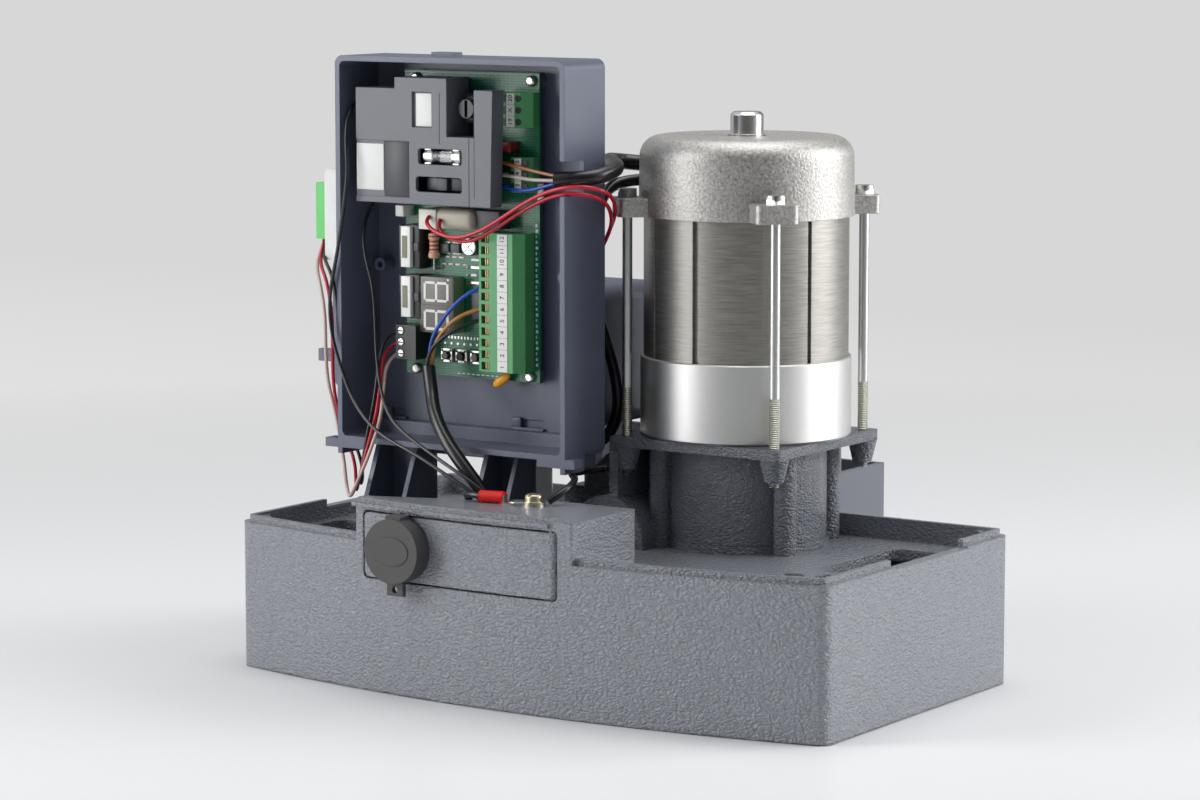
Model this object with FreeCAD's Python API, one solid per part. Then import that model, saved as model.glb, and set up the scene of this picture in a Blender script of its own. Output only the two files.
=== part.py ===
import FreeCAD
import Part
import math
import os

# Slide gate operator: cast base, worm gear case, vertical motor, control box and key release.
# Millimetres. Origin at the centre of the straight part of the base, at its bottom.
# +X is to the right seen from the key side, +Y points to the gate, +Z is up.

V = FreeCAD.Vector

# Base casting
base_width = 303.2
base_depth = 157.1
front_bow = 17.1
deck_height = 58.5
ledge_rise = 6.7
ledge_height = deck_height + ledge_rise
lip_height = 2.8
lip_inset = 2.5
base_wall = 5.0
base_corner = 6.0
deck_thickness = 5.0
lip_gap_front = -22.5
lip_gap_back = 39.7
lip_gap_drop = 3.4
sole_thickness = 7.0
sole_inner_x = 105.0
window_outer_x = 142.0
rear_window_inner_x = 107.0
rear_window_front = -13.0
rear_window_back = 53.0
front_window_inner_x = 115.0
front_window_front = -70.0
front_window_back = -18.0
window_corner = 7.0
anchor_x = 128.5
anchor_front_y = -45.0
anchor_spacing = 65.0
anchor_slot_width = 11.0
anchor_slot_length = 28.0
deck_hole_x = 105.5
deck_hole_y = -31.0
deck_hole_diameter = 12.0
cable_hole_x = -26.0
cable_hole_y = -47.0
cable_hole_diameter = 15.0
corner_lug = 11.0
corner_lug_hole = 3.2

# Release housing and door in the front of the base
housing_left = -77.0
housing_right = 38.0
housing_back = -47.0
housing_top = 83.0
housing_floor = 44.0
housing_wall = 4.0
housing_roof = 2.6
housing_bend_x = -30.0
housing_bend_y = -63.0
housing_left_back = -80.0
eave_height = 1.8
eave_reach = 1.5
ridge_height = 1.1
ridge_depth = 6.0
door_left = -72.0
door_bottom = 50.0
door_height = 28.2
door_thickness = 5.0
door_gap = 0.8
door_end_radius = 3.6
door_corner = 2.5
hinge_x = 26.6
hinge_pin_diameter = 3.0
release_angle = 90.0

# Gearing
output_over_deck = 3.5
output_z = deck_height + output_over_deck
gear_module = 2.0
wheel_teeth = 32
wheel_width = 16.0
motor_x = 43.4
motor_setback = 44.95
motor_y = base_depth / 2.0 - motor_setback
tooth_play = 0.16
worm_length = 30.0
case_wall = 4.0
wheel_room = 1.5
worm_room = 2.0
clutch_travel = 5.0
pinion_module = 4.0
pinion_teeth = 16
pinion_width = 26.0
pinion_gap = 7.45
pinion_start = base_depth / 2.0 + pinion_gap

# Rolling bearings: bore, outside, width
small_bearing = (15.0, 35.0, 11.0)
front_bearing = (15.0, 32.0, 9.0)
worm_bearing = (15.0, 32.0, 9.0)
rear_bearing = (20.0, 42.0, 12.0)
running_gap = 0.03

# Motor
flange_left = 0.2
flange_size = 86.4
flange_rise = 45.0
flange_top = output_z + flange_rise
flange_thickness = 4.4
tower_radius = 36.0
ring_radius = 46.4
ring_height = 35.0
ring_top = flange_top + ring_height
stator_radius = 45.0
stator_bore = 27.0
cap_radius = 47.3
stator_height = 61.5
cap_height = 34.5
cap_bottom = ring_top + stator_height
cap_top = cap_bottom + cap_height
cap_edge = 9.0
cap_wall = 4.0
shaft_diameter = 15.0
shaft_end_diameter = 14.5
shaft_end_rise = 10.3
shaft_step = 0.6
shaft_chamfer = 1.3
shaft_top = cap_top + shaft_end_rise
rod_spacing = 75.28
rod_diameter = 4.4
rod_head_flats = 8.0
rod_head_height = 4.0
lug_height = 8.0
lug_width = 19.0
lug_reach = 58.5
core_radius = 26.3
core_bottom = ring_top + 7.0
core_top = cap_bottom - 6.5

# Control box
box_left = -122.4
box_right = 0.7
box_front = -45.0
box_depth = 31.0
box_bottom = 99.7
box_top = 271.8
box_wall = 2.5
box_corner = 4.0
notch_depth = 15.0
notch_bottom = 214.0
notch_top = 229.0
board_left = -100.0
board_right = -27.5
board_drop = 6.6
board_height = 135.4
board_top = box_top - board_drop
board_bottom = board_top - board_height
board_drawn_top = 265.2
board_lift = board_top - board_drawn_top
board_front = -23.0
board_thickness = 1.6
cover_front = -43.0
pole_pitch = 5.08

# Rear pinion guard
guard_half_width = 64.6
guard_room = 8.0
guard_back = pinion_start + pinion_width + guard_room
guard_top = 85.0
guard_plate_top = 100.0
guard_bottom = 20.0
guard_wall = 2.6

wheel_pitch_radius = gear_module * wheel_teeth / 2.0
wheel_tip_radius = wheel_pitch_radius + gear_module
wheel_root_radius = wheel_pitch_radius - 1.25 * gear_module
worm_pitch_radius = motor_x - wheel_pitch_radius
worm_tip_radius = worm_pitch_radius + gear_module
worm_root_radius = worm_pitch_radius - 1.25 * gear_module
worm_lead = math.pi * gear_module
bow_radius = ((base_width / 2.0) ** 2 + front_bow ** 2) / (2.0 * front_bow)
bow_centre_y = -base_depth / 2.0 - front_bow + bow_radius


def block(x0, x1, y0, y1, z0, z1):
    return Part.makeBox(x1 - x0, y1 - y0, z1 - z0, V(x0, y0, z0))


def post(x, y, z0, z1, radius):
    return Part.makeCylinder(radius, z1 - z0, V(x, y, z0), V(0, 0, 1))


def barrel(x, z, y0, y1, radius):
    return Part.makeCylinder(radius, y1 - y0, V(x, y0, z), V(0, 1, 0))


def bar_x(y, z, x0, x1, radius):
    return Part.makeCylinder(radius, x1 - x0, V(x0, y, z), V(1, 0, 0))


def fuse(shapes):
    whole = shapes[0].multiFuse(shapes[1:]) if len(shapes) > 1 else shapes[0]
    return whole.removeSplitter()


def cut(shape, tools):
    return shape.cut(Part.makeCompound(tools)) if len(tools) == 1 else shape.cut(fuse(tools))


def group(shapes):
    return Part.makeCompound(shapes)


def softened(shape, direction, radius):
    chosen = []
    for edge in shape.Edges:
        if edge.Curve.TypeId != "Part::GeomLine":
            continue
        along = edge.tangentAt(edge.FirstParameter)
        if abs(along.dot(direction)) > 0.999:
            chosen.append(edge)
    return shape.makeFillet(radius, chosen)


def rounded_block(x0, x1, y0, y1, z0, z1, radius, direction=V(0, 0, 1)):
    return softened(block(x0, x1, y0, y1, z0, z1), direction, radius)


def plate_from(points, z0, z1):
    corners = [V(x, y, z0) for x, y in points]
    wire = Part.makePolygon(corners + [corners[0]])
    return Part.Face(wire).extrude(V(0, 0, z1 - z0))


def plate_xz(points, y0, y1):
    corners = [V(x, y0, z) for x, z in points]
    wire = Part.makePolygon(corners + [corners[0]])
    return Part.Face(wire).extrude(V(0, y1 - y0, 0))


def turned(profile, centre, direction):
    # profile: (radius, height) pairs, turned about direction through centre
    corners = [V(r, 0, h) for r, h in profile]
    wire = Part.makePolygon(corners + [corners[0]])
    solid = Part.Face(wire).revolve(V(0, 0, 0), V(0, 0, 1), 360)
    turn = FreeCAD.Rotation(V(0, 0, 1), direction)
    solid.Placement = FreeCAD.Placement(centre, turn)
    return solid


def front_face_y(x, inset=0.0):
    return bow_centre_y - math.sqrt((bow_radius - inset) ** 2 - x * x)


def bowed_prism(inset, z0, z1):
    x = base_width / 2.0 - inset
    y = base_depth / 2.0 - inset
    front = front_face_y(x, inset)
    middle = V(0, front_face_y(0, inset), z0)
    right_front = V(x, front, z0)
    left_front = V(-x, front, z0)
    edges = [
        Part.makeLine(right_front, V(x, y, z0)),
        Part.makeLine(V(x, y, z0), V(-x, y, z0)),
        Part.makeLine(V(-x, y, z0), left_front),
        Part.Arc(left_front, middle, right_front).toShape(),
    ]
    solid = Part.Face(Part.Wire(edges)).extrude(V(0, 0, z1 - z0))
    return softened(solid, V(0, 0, 1), max(base_corner - inset, 1.0))


def curved_panel(x0, x1, inset0, inset1, z0, z1):
    # a slice of the bowed front wall between two insets
    band = bowed_prism(inset0, z0, z1).cut(bowed_prism(inset1, z0 - 1, z1 + 1))
    return band.common(block(x0, x1, -base_depth, -base_depth / 2.0 + 12, z0, z1))


def slot_along_y(x, y, z0, z1, width, length):
    half = (length - width) / 2.0
    r = width / 2.0
    return fuse([
        post(x, y - half, z0, z1, r),
        post(x, y + half, z0, z1, r),
        block(x - r, x + r, y - half, y + half, z0, z1),
    ])


def anchor_places():
    return [(sx * anchor_x, anchor_front_y + n * anchor_spacing) for sx in (-1, 1) for n in (0, 1)]


def rod_places():
    half = rod_spacing / 2.0
    return [(motor_x + sx * half, motor_y + sy * half) for sx in (-1, 1) for sy in (-1, 1)]


def hexagon(x, y, z0, z1, flats):
    r = flats / math.sqrt(3.0)
    points = [(x + r * math.cos(math.radians(60 * n)), y + r * math.sin(math.radians(60 * n)))
              for n in range(6)]
    return plate_from(points, z0, z1)


# Gear case outline, shared by the lower case, the hole in the deck and the upper housing
hump_radius = wheel_tip_radius + wheel_room + 3.0
wheel_front = motor_y - wheel_width / 2.0
wheel_back = motor_y + wheel_width / 2.0
hump_front = wheel_front - 5.6
hump_back = wheel_back + 5.4
front_boss_reach = 45.6
front_boss_y = motor_y - front_boss_reach
front_boss_radius = front_bearing[1] / 2.0 + 3.0
front_bearing_y = front_boss_y + 4.0
rear_boss_radius = rear_bearing[1] / 2.0 + case_wall
rear_seal_room = 4.55
rear_face = base_depth / 2.0
rear_bearing_y = rear_face - rear_seal_room - rear_bearing[2]
worm_barrel_radius = worm_tip_radius + worm_room + case_wall + 3.0
case_bottom = output_z - wheel_tip_radius - wheel_room - case_wall
worm_bearing_bottom = output_z - worm_length / 2.0 - 6.5 - worm_bearing[2]
worm_barrel_bottom = worm_bearing_bottom - case_wall
boss_ring_radius = 39.0
boss_angles = (50.0, 118.0, 230.0, 328.0)
boss_radius = 5.0
case_screw_diameter = 5.0
parting = output_z


def boss_places():
    return [(motor_x + boss_ring_radius * math.cos(math.radians(a)),
             motor_y + boss_ring_radius * math.sin(math.radians(a))) for a in boss_angles]


def case_outline(z0, z1, grow=0.0):
    # the plan outline of the gear case between two heights
    return fuse([
        block(-hump_radius - 1.2 - grow, motor_x, hump_front - grow, hump_back + grow, z0, z1),
        block(-front_boss_radius - grow, front_boss_radius + grow, front_boss_y - grow, hump_front, z0, z1),
        block(-rear_boss_radius - grow, rear_boss_radius + grow, hump_back, rear_face, z0, z1),
        post(motor_x, motor_y, z0, z1, worm_barrel_radius + grow),
    ])


def release_housing():
    outline = [
        (housing_left, -base_depth),
        (housing_right, -base_depth),
        (housing_right, housing_back),
        (0.0, housing_back),
        (housing_bend_x, housing_bend_y),
        (housing_left, housing_left_back),
    ]
    bottom = housing_floor - housing_wall
    outer = plate_from(outline, bottom, housing_top).common(bowed_prism(0, bottom, housing_top))
    ledge = bowed_prism(-eave_reach, housing_top - eave_height - 1.0, housing_top - 1.0)
    ledge = ledge.common(block(housing_left - eave_reach, 27.0, -base_depth, -80, 0, 100))
    ridge = bowed_prism(0.6, housing_top - 1, housing_top + ridge_height)
    ridge = ridge.cut(bowed_prism(ridge_depth, 0, 100))
    ridge = ridge.common(block(housing_left + 0.8, 27.0, -base_depth, -80, 0, 100))
    return fuse([outer, ledge, ridge])


def release_cavity():
    w = housing_wall
    inner = [
        (housing_left + w, -base_depth),
        (housing_right - w, -base_depth),
        (housing_right - w, housing_back - w),
        (1.2, housing_back - w),
        (housing_bend_x + 1.0, housing_bend_y - w - 0.6),
        (housing_left + w, housing_left_back - w - 0.2),
    ]
    room = plate_from(inner, housing_floor, housing_top - housing_roof)
    room = room.common(bowed_prism(2.2, housing_floor, housing_top))
    front_skin = curved_panel(housing_left, hinge_x - 6.0, 0.0, base_wall, housing_floor - 1, housing_top)
    return room.cut(front_skin)


def door_opening():
    right = hinge_x + door_end_radius + door_gap
    raw = block(door_left - door_gap, right, -base_depth, -base_depth / 2.0 + 2,
                door_bottom - door_gap, door_bottom + door_height + door_gap)
    return softened(raw, V(0, 1, 0), door_corner)


def base_casting():
    lip_top = ledge_height + lip_height
    body = bowed_prism(0, 0, ledge_height)
    lip = bowed_prism(lip_inset, ledge_height - 1, lip_top)
    body = fuse([body, lip])
    under_deck = deck_height - deck_thickness
    half_w = base_width / 2.0
    soles = []
    for side in (-1, 1):
        x0 = min(side * sole_inner_x, side * half_w)
        x1 = max(side * sole_inner_x, side * half_w)
        soles.append(block(x0, x1, -base_depth, base_depth / 2.0, -1, sole_thickness))
    hollow = bowed_prism(base_wall, -1, under_deck).cut(fuse(soles))
    tray = bowed_prism(base_wall, deck_height, lip_top + 1)
    gaps = [block(side * half_w - 6, side * half_w + 6, lip_gap_front, lip_gap_back,
                  lip_top - lip_gap_drop, lip_top + 1) for side in (-1, 1)]
    body = body.cut(hollow).cut(tray).cut(group(gaps))
    lugs = []
    lug_holes = []
    inner_x = half_w - base_wall
    for x, y in ((-inner_x, front_face_y(inner_x, base_wall)), (inner_x, base_depth / 2.0 - base_wall)):
        sx = -1 if x > 0 else 1
        sy = -1 if y > 0 else 1
        web = [(x - sx, y - sy), (x + sx * corner_lug, y - sy), (x - sx, y + sy * corner_lug)]
        lugs.append(plate_from(web, deck_height - 1, lip_top - 1.2))
        lug_holes.append(post(x + sx * 3.0, y + sy * 3.0, deck_height, lip_top + 1, corner_lug_hole / 2.0))
    body = fuse([body] + lugs + [release_housing()])
    tools = lug_holes + [release_cavity(), door_opening()]
    for side in (-1, 1):
        for inner, front, back in ((rear_window_inner_x, rear_window_front, rear_window_back),
                                   (front_window_inner_x, front_window_front, front_window_back)):
            x0 = min(side * inner, side * window_outer_x)
            x1 = max(side * inner, side * window_outer_x)
            tools.append(rounded_block(x0, x1, front, back, under_deck - 1, deck_height + 1, window_corner))
    for x, y in boss_places():
        tools.append(post(x, y, under_deck + 0.6, deck_height + 1, case_screw_diameter / 2.0))
    for x, y in anchor_places():
        tools.append(slot_along_y(x, y, -1, sole_thickness + 1, anchor_slot_width, anchor_slot_length))
    tools.append(post(deck_hole_x, deck_hole_y, under_deck - 1, deck_height + 1, deck_hole_diameter / 2.0))
    for sx in (-1, 1):
        tools.append(barrel(sx * 50.0, 40.0, rear_face - 3.0, rear_face + 1, 2.1))
    tools.append(post(cable_hole_x, cable_hole_y, under_deck - 1, deck_height + 1, cable_hole_diameter / 2.0))
    tools.append(case_outline(under_deck - 1, deck_height + 1, 0.5).cut(
        block(-60, 120, rear_face - base_wall, rear_face + 1, 0, 100)))
    rear_hole = fuse([
        barrel(0, output_z, rear_face - base_wall - 1, rear_face + 1, rear_boss_radius + 0.4),
        block(-rear_boss_radius - 0.4, rear_boss_radius + 0.4, rear_face - base_wall - 1, rear_face + 1,
              output_z, lip_top + 1),
    ])
    tools.append(rear_hole)
    rod_hole = barrel(0, output_z, housing_bend_y, housing_back + 1, push_rod_radius + 0.6)
    tools.append(rod_hole)
    pin_y = hinge_y
    tools.append(post(hinge_x, pin_y, housing_floor - 2.5, housing_floor + 1, hinge_pin_diameter / 2.0))
    body = body.cut(group(tools))
    guide = block(slider_left, slider_right, slider_back - 14, slider_back - 8, housing_floor - 1, slider_z0 - 0.1)
    knuckle = post(hinge_x, pin_y, housing_floor - 1, door_bottom - 0.4, 3.2).common(
        bowed_prism(0, 0, housing_top))
    knuckle = knuckle.cut(post(hinge_x, pin_y, 0, housing_top, hinge_pin_diameter / 2.0))
    roof_boss = post(hinge_x, pin_y, door_bottom + door_height + 0.4, housing_top - 1, 3.2)
    roof_boss = roof_boss.cut(post(hinge_x, pin_y, 0, housing_top - 1.6, hinge_pin_diameter / 2.0))
    body = fuse([body, guide, knuckle, roof_boss])
    pin = post(hinge_x, pin_y, housing_floor - 2.5, housing_top - 1.6, hinge_pin_diameter / 2.0)
    cam_room = block(hinge_x + 3.0, hinge_x + cam_offset + cam_radius + 0.8, hinge_y - cam_radius - 0.5,
                     hinge_y + 6.0, cam_z0 - 0.6, cam_z1 + 0.6)
    return body.cut(fuse([pin, cam_room]))


# Release parts inside the front housing
hinge_y = front_face_y(hinge_x) + door_end_radius
cam_offset = clutch_travel
cam_radius = 1.8
cam_play = 1.2
cam_z0 = 60.2
cam_z1 = 63.8
slider_z0 = 60.0
slider_z1 = 64.0
slider_front = hinge_y + cam_radius + cam_play
slider_back = housing_back - housing_wall - clutch_travel - 5.2
slider_left = 26.0
slider_right = 33.4
slider_arm = 6.0
push_rod_radius = 3.0
lock_x = -49.0
lock_z = 64.3
lock_body_radius = 8.0
lock_collar_radius = 10.0
lock_collar_reach = 4.6
lock_depth = 9.5
plug_radius = 5.5
tongue_length = 17.0


def release_door():
    z0 = door_bottom
    z1 = door_bottom + door_height
    panel = curved_panel(door_left, hinge_x, 0.0, door_thickness, z0, z1)
    ends = []
    for edge in panel.Edges:
        if edge.Curve.TypeId != "Part::GeomLine":
            continue
        along = edge.tangentAt(edge.FirstParameter)
        if abs(along.y) > 0.9 and edge.BoundBox.XMax < door_left + 1:
            ends.append(edge)
    panel = panel.makeFillet(door_corner, ends)
    end = post(hinge_x, hinge_y, z0, z1, door_end_radius)
    panel = panel.cut(block(hinge_x - 3.0, hinge_x + 6, hinge_y + 1.4, hinge_y + 5, z0 - 1, z1 + 1))
    shape = fuse([panel, end])
    relief = post(hinge_x, hinge_y, cam_z0 - 1.0, cam_z1 + 1.0, door_end_radius + 2.5).cut(
        block(hinge_x - 12, hinge_x + 12, hinge_y - 12, hinge_y - door_end_radius + 1.8, 0, 100))
    shape = shape.cut(relief)
    hub = post(hinge_x, hinge_y, cam_z0 - 1.0, cam_z1 + 1.0, 2.7)
    nose = post(hinge_x + cam_offset, hinge_y, cam_z0, cam_z1, cam_radius)
    arm = block(hinge_x, hinge_x + cam_offset, hinge_y - 1.3, hinge_y + 1.3, cam_z0, cam_z1)
    boss = barrel(lock_x, lock_z, front_face_y(lock_x) + 2, front_face_y(lock_x) + door_thickness + 1.5,
                  lock_body_radius + 2.5)
    shape = fuse([shape, hub, nose, arm, boss])
    bore = barrel(lock_x, lock_z, -base_depth, -base_depth / 2.0 + 5, lock_body_radius)
    pin = post(hinge_x, hinge_y, z0 - 1, z1 + 1, hinge_pin_diameter / 2.0 + running_gap)
    return shape.cut(fuse([bore, pin]))


def hinge_pin():
    return post(hinge_x, hinge_y, housing_floor - 2.4, housing_top - 1.7, hinge_pin_diameter / 2.0)


def lock_body():
    face = front_face_y(lock_x)
    collar = barrel(lock_x, lock_z, face - lock_collar_reach, face, lock_collar_radius)
    seat = barrel(lock_x, lock_z, face - 0.5, face + lock_depth, lock_body_radius)
    nut = barrel(lock_x, lock_z, face + door_thickness + 1.5, face + door_thickness + 3.5, lock_body_radius + 2.0)
    body = fuse([collar.cut(bowed_prism(0, 0, 100)), seat, nut])
    return body.cut(barrel(lock_x, lock_z, face - 8, face + lock_depth + 1, plug_radius + running_gap))


def lock_plug():
    face = front_face_y(lock_x)
    plug = barrel(lock_x, lock_z, face - lock_collar_reach, face + lock_depth + 2.6, plug_radius)
    keyway = block(lock_x - 0.8, lock_x + 0.8, face - lock_collar_reach - 1, face - lock_collar_reach + 6,
                   lock_z - 3.6, lock_z + 3.6)
    y0 = face + lock_depth + 0.3
    tongue = rounded_block(lock_x - 4.5, lock_x + tongue_length, y0, y0 + 2.3, lock_z - 4.0, lock_z + 4.0,
                           3.0, V(0, 1, 0))
    return fuse([plug.cut(keyway), tongue])


cap_radius_rubber = 14.0
cap_skin = 2.0
cap_thick = 9.0


def key_cap():
    back = front_face_y(lock_x + cap_radius_rubber) - 0.3
    front = back - cap_thick
    disc = barrel(lock_x, lock_z, front, back, cap_radius_rubber)
    hollow = barrel(lock_x, lock_z, front + cap_skin, back + 1, lock_collar_radius + 1.6)
    ring = barrel(lock_x, lock_z, front - 0.4, front + 0.2, 9.3)
    oval = Part.Ellipse(V(0, 0, 0), 9.3, 6.2).toShape()
    oval_face = Part.Face(Part.Wire([oval]))
    ridge = oval_face.extrude(V(0, 0, 0.8))
    ridge.Placement = FreeCAD.Placement(V(lock_x, front + 0.4, lock_z), FreeCAD.Rotation(V(1, 0, 0), 90))
    hinge_lug = block(lock_x - 4.0, lock_x + 4.0, front + 2.0, back, lock_z + 12.0, lock_z + cap_radius_rubber + 1.0)
    pull = block(lock_x - 4.2, lock_x + 4.2, front + 3.0, front + 5.2, lock_z - cap_radius_rubber - 5.6, lock_z - 12.5)
    eyelet = barrel(lock_x, lock_z - cap_radius_rubber - 2.8, front, back, 1.5)
    whole = fuse([disc, ridge, hinge_lug, pull])
    return whole.cut(fuse([hollow, eyelet]))


def release_slider():
    x0 = -slider_arm
    leg = block(slider_left, slider_right, slider_front, slider_back, slider_z0, slider_z1)
    foot = block(x0, slider_right, slider_back - slider_arm, slider_back, slider_z0, slider_z1)
    pad = block(-5.0, 5.0, slider_back - 4.0, slider_back, output_z - 5.0, output_z + 5.0)
    pad = softened(pad, V(0, 1, 0), 2.0)
    return fuse([leg, foot, pad])


# Gear case and housing
def bearing_seats():
    rear_r = rear_bearing[1] / 2.0
    front_r = front_bearing[1] / 2.0
    return [
        barrel(0, output_z, front_bearing_y, front_bearing_y + front_bearing[2], front_r),
        barrel(0, output_z, front_bearing_y, hump_front + 3, output_shoulder + 0.8),
        barrel(0, output_z, hump_back - 3, rear_bearing_y + rear_bearing[2], rear_r),
        barrel(0, output_z, front_boss_y - 1, front_bearing_y + 1, push_rod_radius + 0.6),
        barrel(0, output_z, rear_bearing_y, rear_face + 1, seal_radius),
        post(motor_x, motor_y, worm_bearing_bottom, output_z, worm_bearing[1] / 2.0),
        barrel(0, output_z, hump_front + 2.6, hump_back - 2.4, wheel_tip_radius + wheel_room),
        post(motor_x, motor_y, output_z - 20, mid_bearing_z, worm_tip_radius + worm_room),
    ]


seal_radius = 17.5
output_shoulder = rear_bearing[0] / 2.0 + 1.0
mid_bearing_z = flange_top - 4.0 - small_bearing[2]


def gear_case():
    flange = case_outline(deck_height, parting, 0.0)
    rim = post(motor_x, motor_y, deck_height, parting, tower_radius + 1.2)
    apron = block(-hump_radius - 5.2, motor_x, hump_front - 3.5, hump_back + 4.0, deck_height, parting)
    shoulder = block(flange_left - 1, flange_left + flange_thickness + 1, front_boss_y + 2.4, motor_y,
                     deck_height, parting)
    wheel_box = block(-hump_radius - 1.2, motor_x, hump_front, hump_back, case_bottom, parting)
    worm_barrel = post(motor_x, motor_y, worm_barrel_bottom, parting, worm_barrel_radius)
    front_boss = barrel(0, output_z, front_boss_y, hump_front, front_boss_radius)
    rear_boss = barrel(0, output_z, hump_back, rear_face, rear_boss_radius)
    lower = block(-200, 200, -200, 200, 0, parting)
    feet = [post(x, y, deck_height, parting, boss_radius) for x, y in boss_places()]
    body = fuse([flange, rim, apron, shoulder, wheel_box, worm_barrel, front_boss, rear_boss] + feet).common(lower)
    corner_tools = []
    for x, y in boss_places():
        corner_tools.append(post(x, y, deck_height - deck_thickness - 1, parting + 1, case_screw_diameter / 2.0))
    return body.cut(group(bearing_seats())).cut(group(corner_tools))


def gear_housing():
    tower = post(motor_x, motor_y, parting, flange_top, tower_radius)
    plate = block(flange_left, flange_left + flange_size, motor_y - flange_size / 2.0,
                  motor_y + flange_size / 2.0, flange_top - flange_thickness, flange_top)
    plate = softened(plate, V(0, 0, 1), 2.5)
    wall = block(flange_left, flange_left + flange_thickness, motor_y - flange_size / 2.0, motor_y,
                 parting, flange_top)
    hump = barrel(0, output_z, hump_front + 2.0, hump_back, hump_radius)
    shoulder = block(-hump_radius - 5.2, motor_x, hump_front, hump_back + 2.0, parting, 78.5)
    shoulder = softened(shoulder, V(0, 1, 0), 3.0)
    front_boss = barrel(0, output_z, front_boss_y, hump_front + 3, front_boss_radius)
    rear_boss = barrel(0, output_z, hump_back, rear_face, rear_boss_radius)
    parts = [tower, plate, wall, hump, shoulder, front_boss, rear_boss]
    for x, y in boss_places():
        parts.append(post(x, y, parting, flange_top - 1, boss_radius))
    for x, y in rod_places():
        boss = Part.makeCone(4.2, 6.6, 10.0, V(x, y, flange_top - flange_thickness - 10.0))
        parts.append(boss)
    upper = block(-200, 200, -200, 200, parting, 300)
    body = fuse(parts).common(upper)
    small_r = small_bearing[1] / 2.0
    tools = bearing_seats() + [
        post(motor_x, motor_y, mid_bearing_z, mid_bearing_z + small_bearing[2], small_r),
        post(motor_x, motor_y, mid_bearing_z, flange_top + 1, 14.0),
    ]
    for x, y in boss_places():
        tools.append(post(x, y, parting - 1, flange_top + 1, case_screw_diameter / 2.0))
        tools.append(post(x, y, flange_top - 5.4, flange_top + 1, 4.5))
    for x, y in rod_places():
        tools.append(post(x, y, flange_top - flange_thickness - 14, flange_top + 1, rod_diameter / 2.0))
    return body.cut(group(tools))


def case_screws():
    screws = []
    for x, y in boss_places():
        head = post(x, y, flange_top - 5.4, flange_top - 0.4, 4.3)
        socket = hexagon(x, y, flange_top - 3.0, flange_top, 4.0)
        shank = post(x, y, deck_height - deck_thickness + 1.0, flange_top - 5.4, case_screw_diameter / 2.0)
        screws.append(fuse([head.cut(socket), shank]))
    return group(screws)


def ball_bearing(size, centre, direction):
    bore, outside, width = size
    r0 = bore / 2.0
    r1 = outside / 2.0
    wall = (r1 - r0) * 0.28
    dip = width * 0.07
    profile = [
        (r0, 0), (r0 + wall, 0), (r0 + wall, dip), (r1 - wall, dip), (r1 - wall, 0), (r1, 0),
        (r1, width), (r1 - wall, width), (r1 - wall, width - dip), (r0 + wall, width - dip),
        (r0 + wall, width), (r0, width),
    ]
    return turned(profile, centre, direction)


def shaft_bearings():
    up = V(0, 0, 1)
    size = (small_bearing[0] + 2 * running_gap, small_bearing[1], small_bearing[2])
    low = (worm_bearing[0] + 2 * running_gap, worm_bearing[1], worm_bearing[2])
    bearings = [ball_bearing(size, V(motor_x, motor_y, z), up) for z in (mid_bearing_z, cap_bearing_z)]
    bearings.append(ball_bearing(low, V(motor_x, motor_y, worm_bearing_bottom), up))
    return group(bearings)


cap_bearing_z = cap_top - 5.0 - small_bearing[2]


def output_bearings():
    along = V(0, 1, 0)
    front = (front_bearing[0] + 2 * running_gap, front_bearing[1], front_bearing[2])
    rear = (rear_bearing[0] + 2 * running_gap, rear_bearing[1], rear_bearing[2])
    return group([
        ball_bearing(front, V(0, front_bearing_y, output_z), along),
        ball_bearing(rear, V(0, rear_bearing_y, output_z), along),
    ])


def oil_seals():
    r = shaft_diameter / 2.0
    motor_seal = turned([(r + running_gap, 0), (14.0, 0), (14.0, 4.0), (r + running_gap, 4.0)],
                        V(motor_x, motor_y, mid_bearing_z + small_bearing[2]), V(0, 0, 1))
    start = rear_bearing_y + rear_bearing[2]
    r = rear_bearing[0] / 2.0
    output_seal = turned([(r + running_gap, 0), (seal_radius, 0), (seal_radius, rear_face - start),
                          (r + running_gap, rear_face - start)], V(0, start, output_z), V(0, 1, 0))
    return group([motor_seal, output_seal])


# Worm and wheel
def worm_thread():
    # one turned core with a trapezoid thread swept along a helix
    half_root = worm_lead / 4.0 + 1.25 * gear_module * math.tan(math.radians(20)) - tooth_play / 2.0
    half_tip = worm_lead / 4.0 - gear_module * math.tan(math.radians(20)) - tooth_play / 2.0
    sink = 0.4
    r0 = worm_root_radius - sink
    r1 = worm_tip_radius
    turns = math.ceil(worm_length / 2.0 / worm_lead)
    start = -turns * worm_lead
    height = 2 * turns * worm_lead
    helix = Part.makeHelix(worm_lead, height, worm_root_radius)
    profile = Part.makePolygon([
        V(r0, 0, -half_root), V(r1, 0, -half_tip), V(r1, 0, half_tip), V(r0, 0, half_root), V(r0, 0, -half_root),
    ])
    pipe = Part.Wire(helix).makePipeShell([profile], True, True)
    pipe.translate(V(0, 0, start))
    trim = Part.makeCylinder(r1 + 1, worm_length, V(0, 0, -worm_length / 2.0), V(0, 0, 1))
    return pipe.common(trim)


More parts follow.
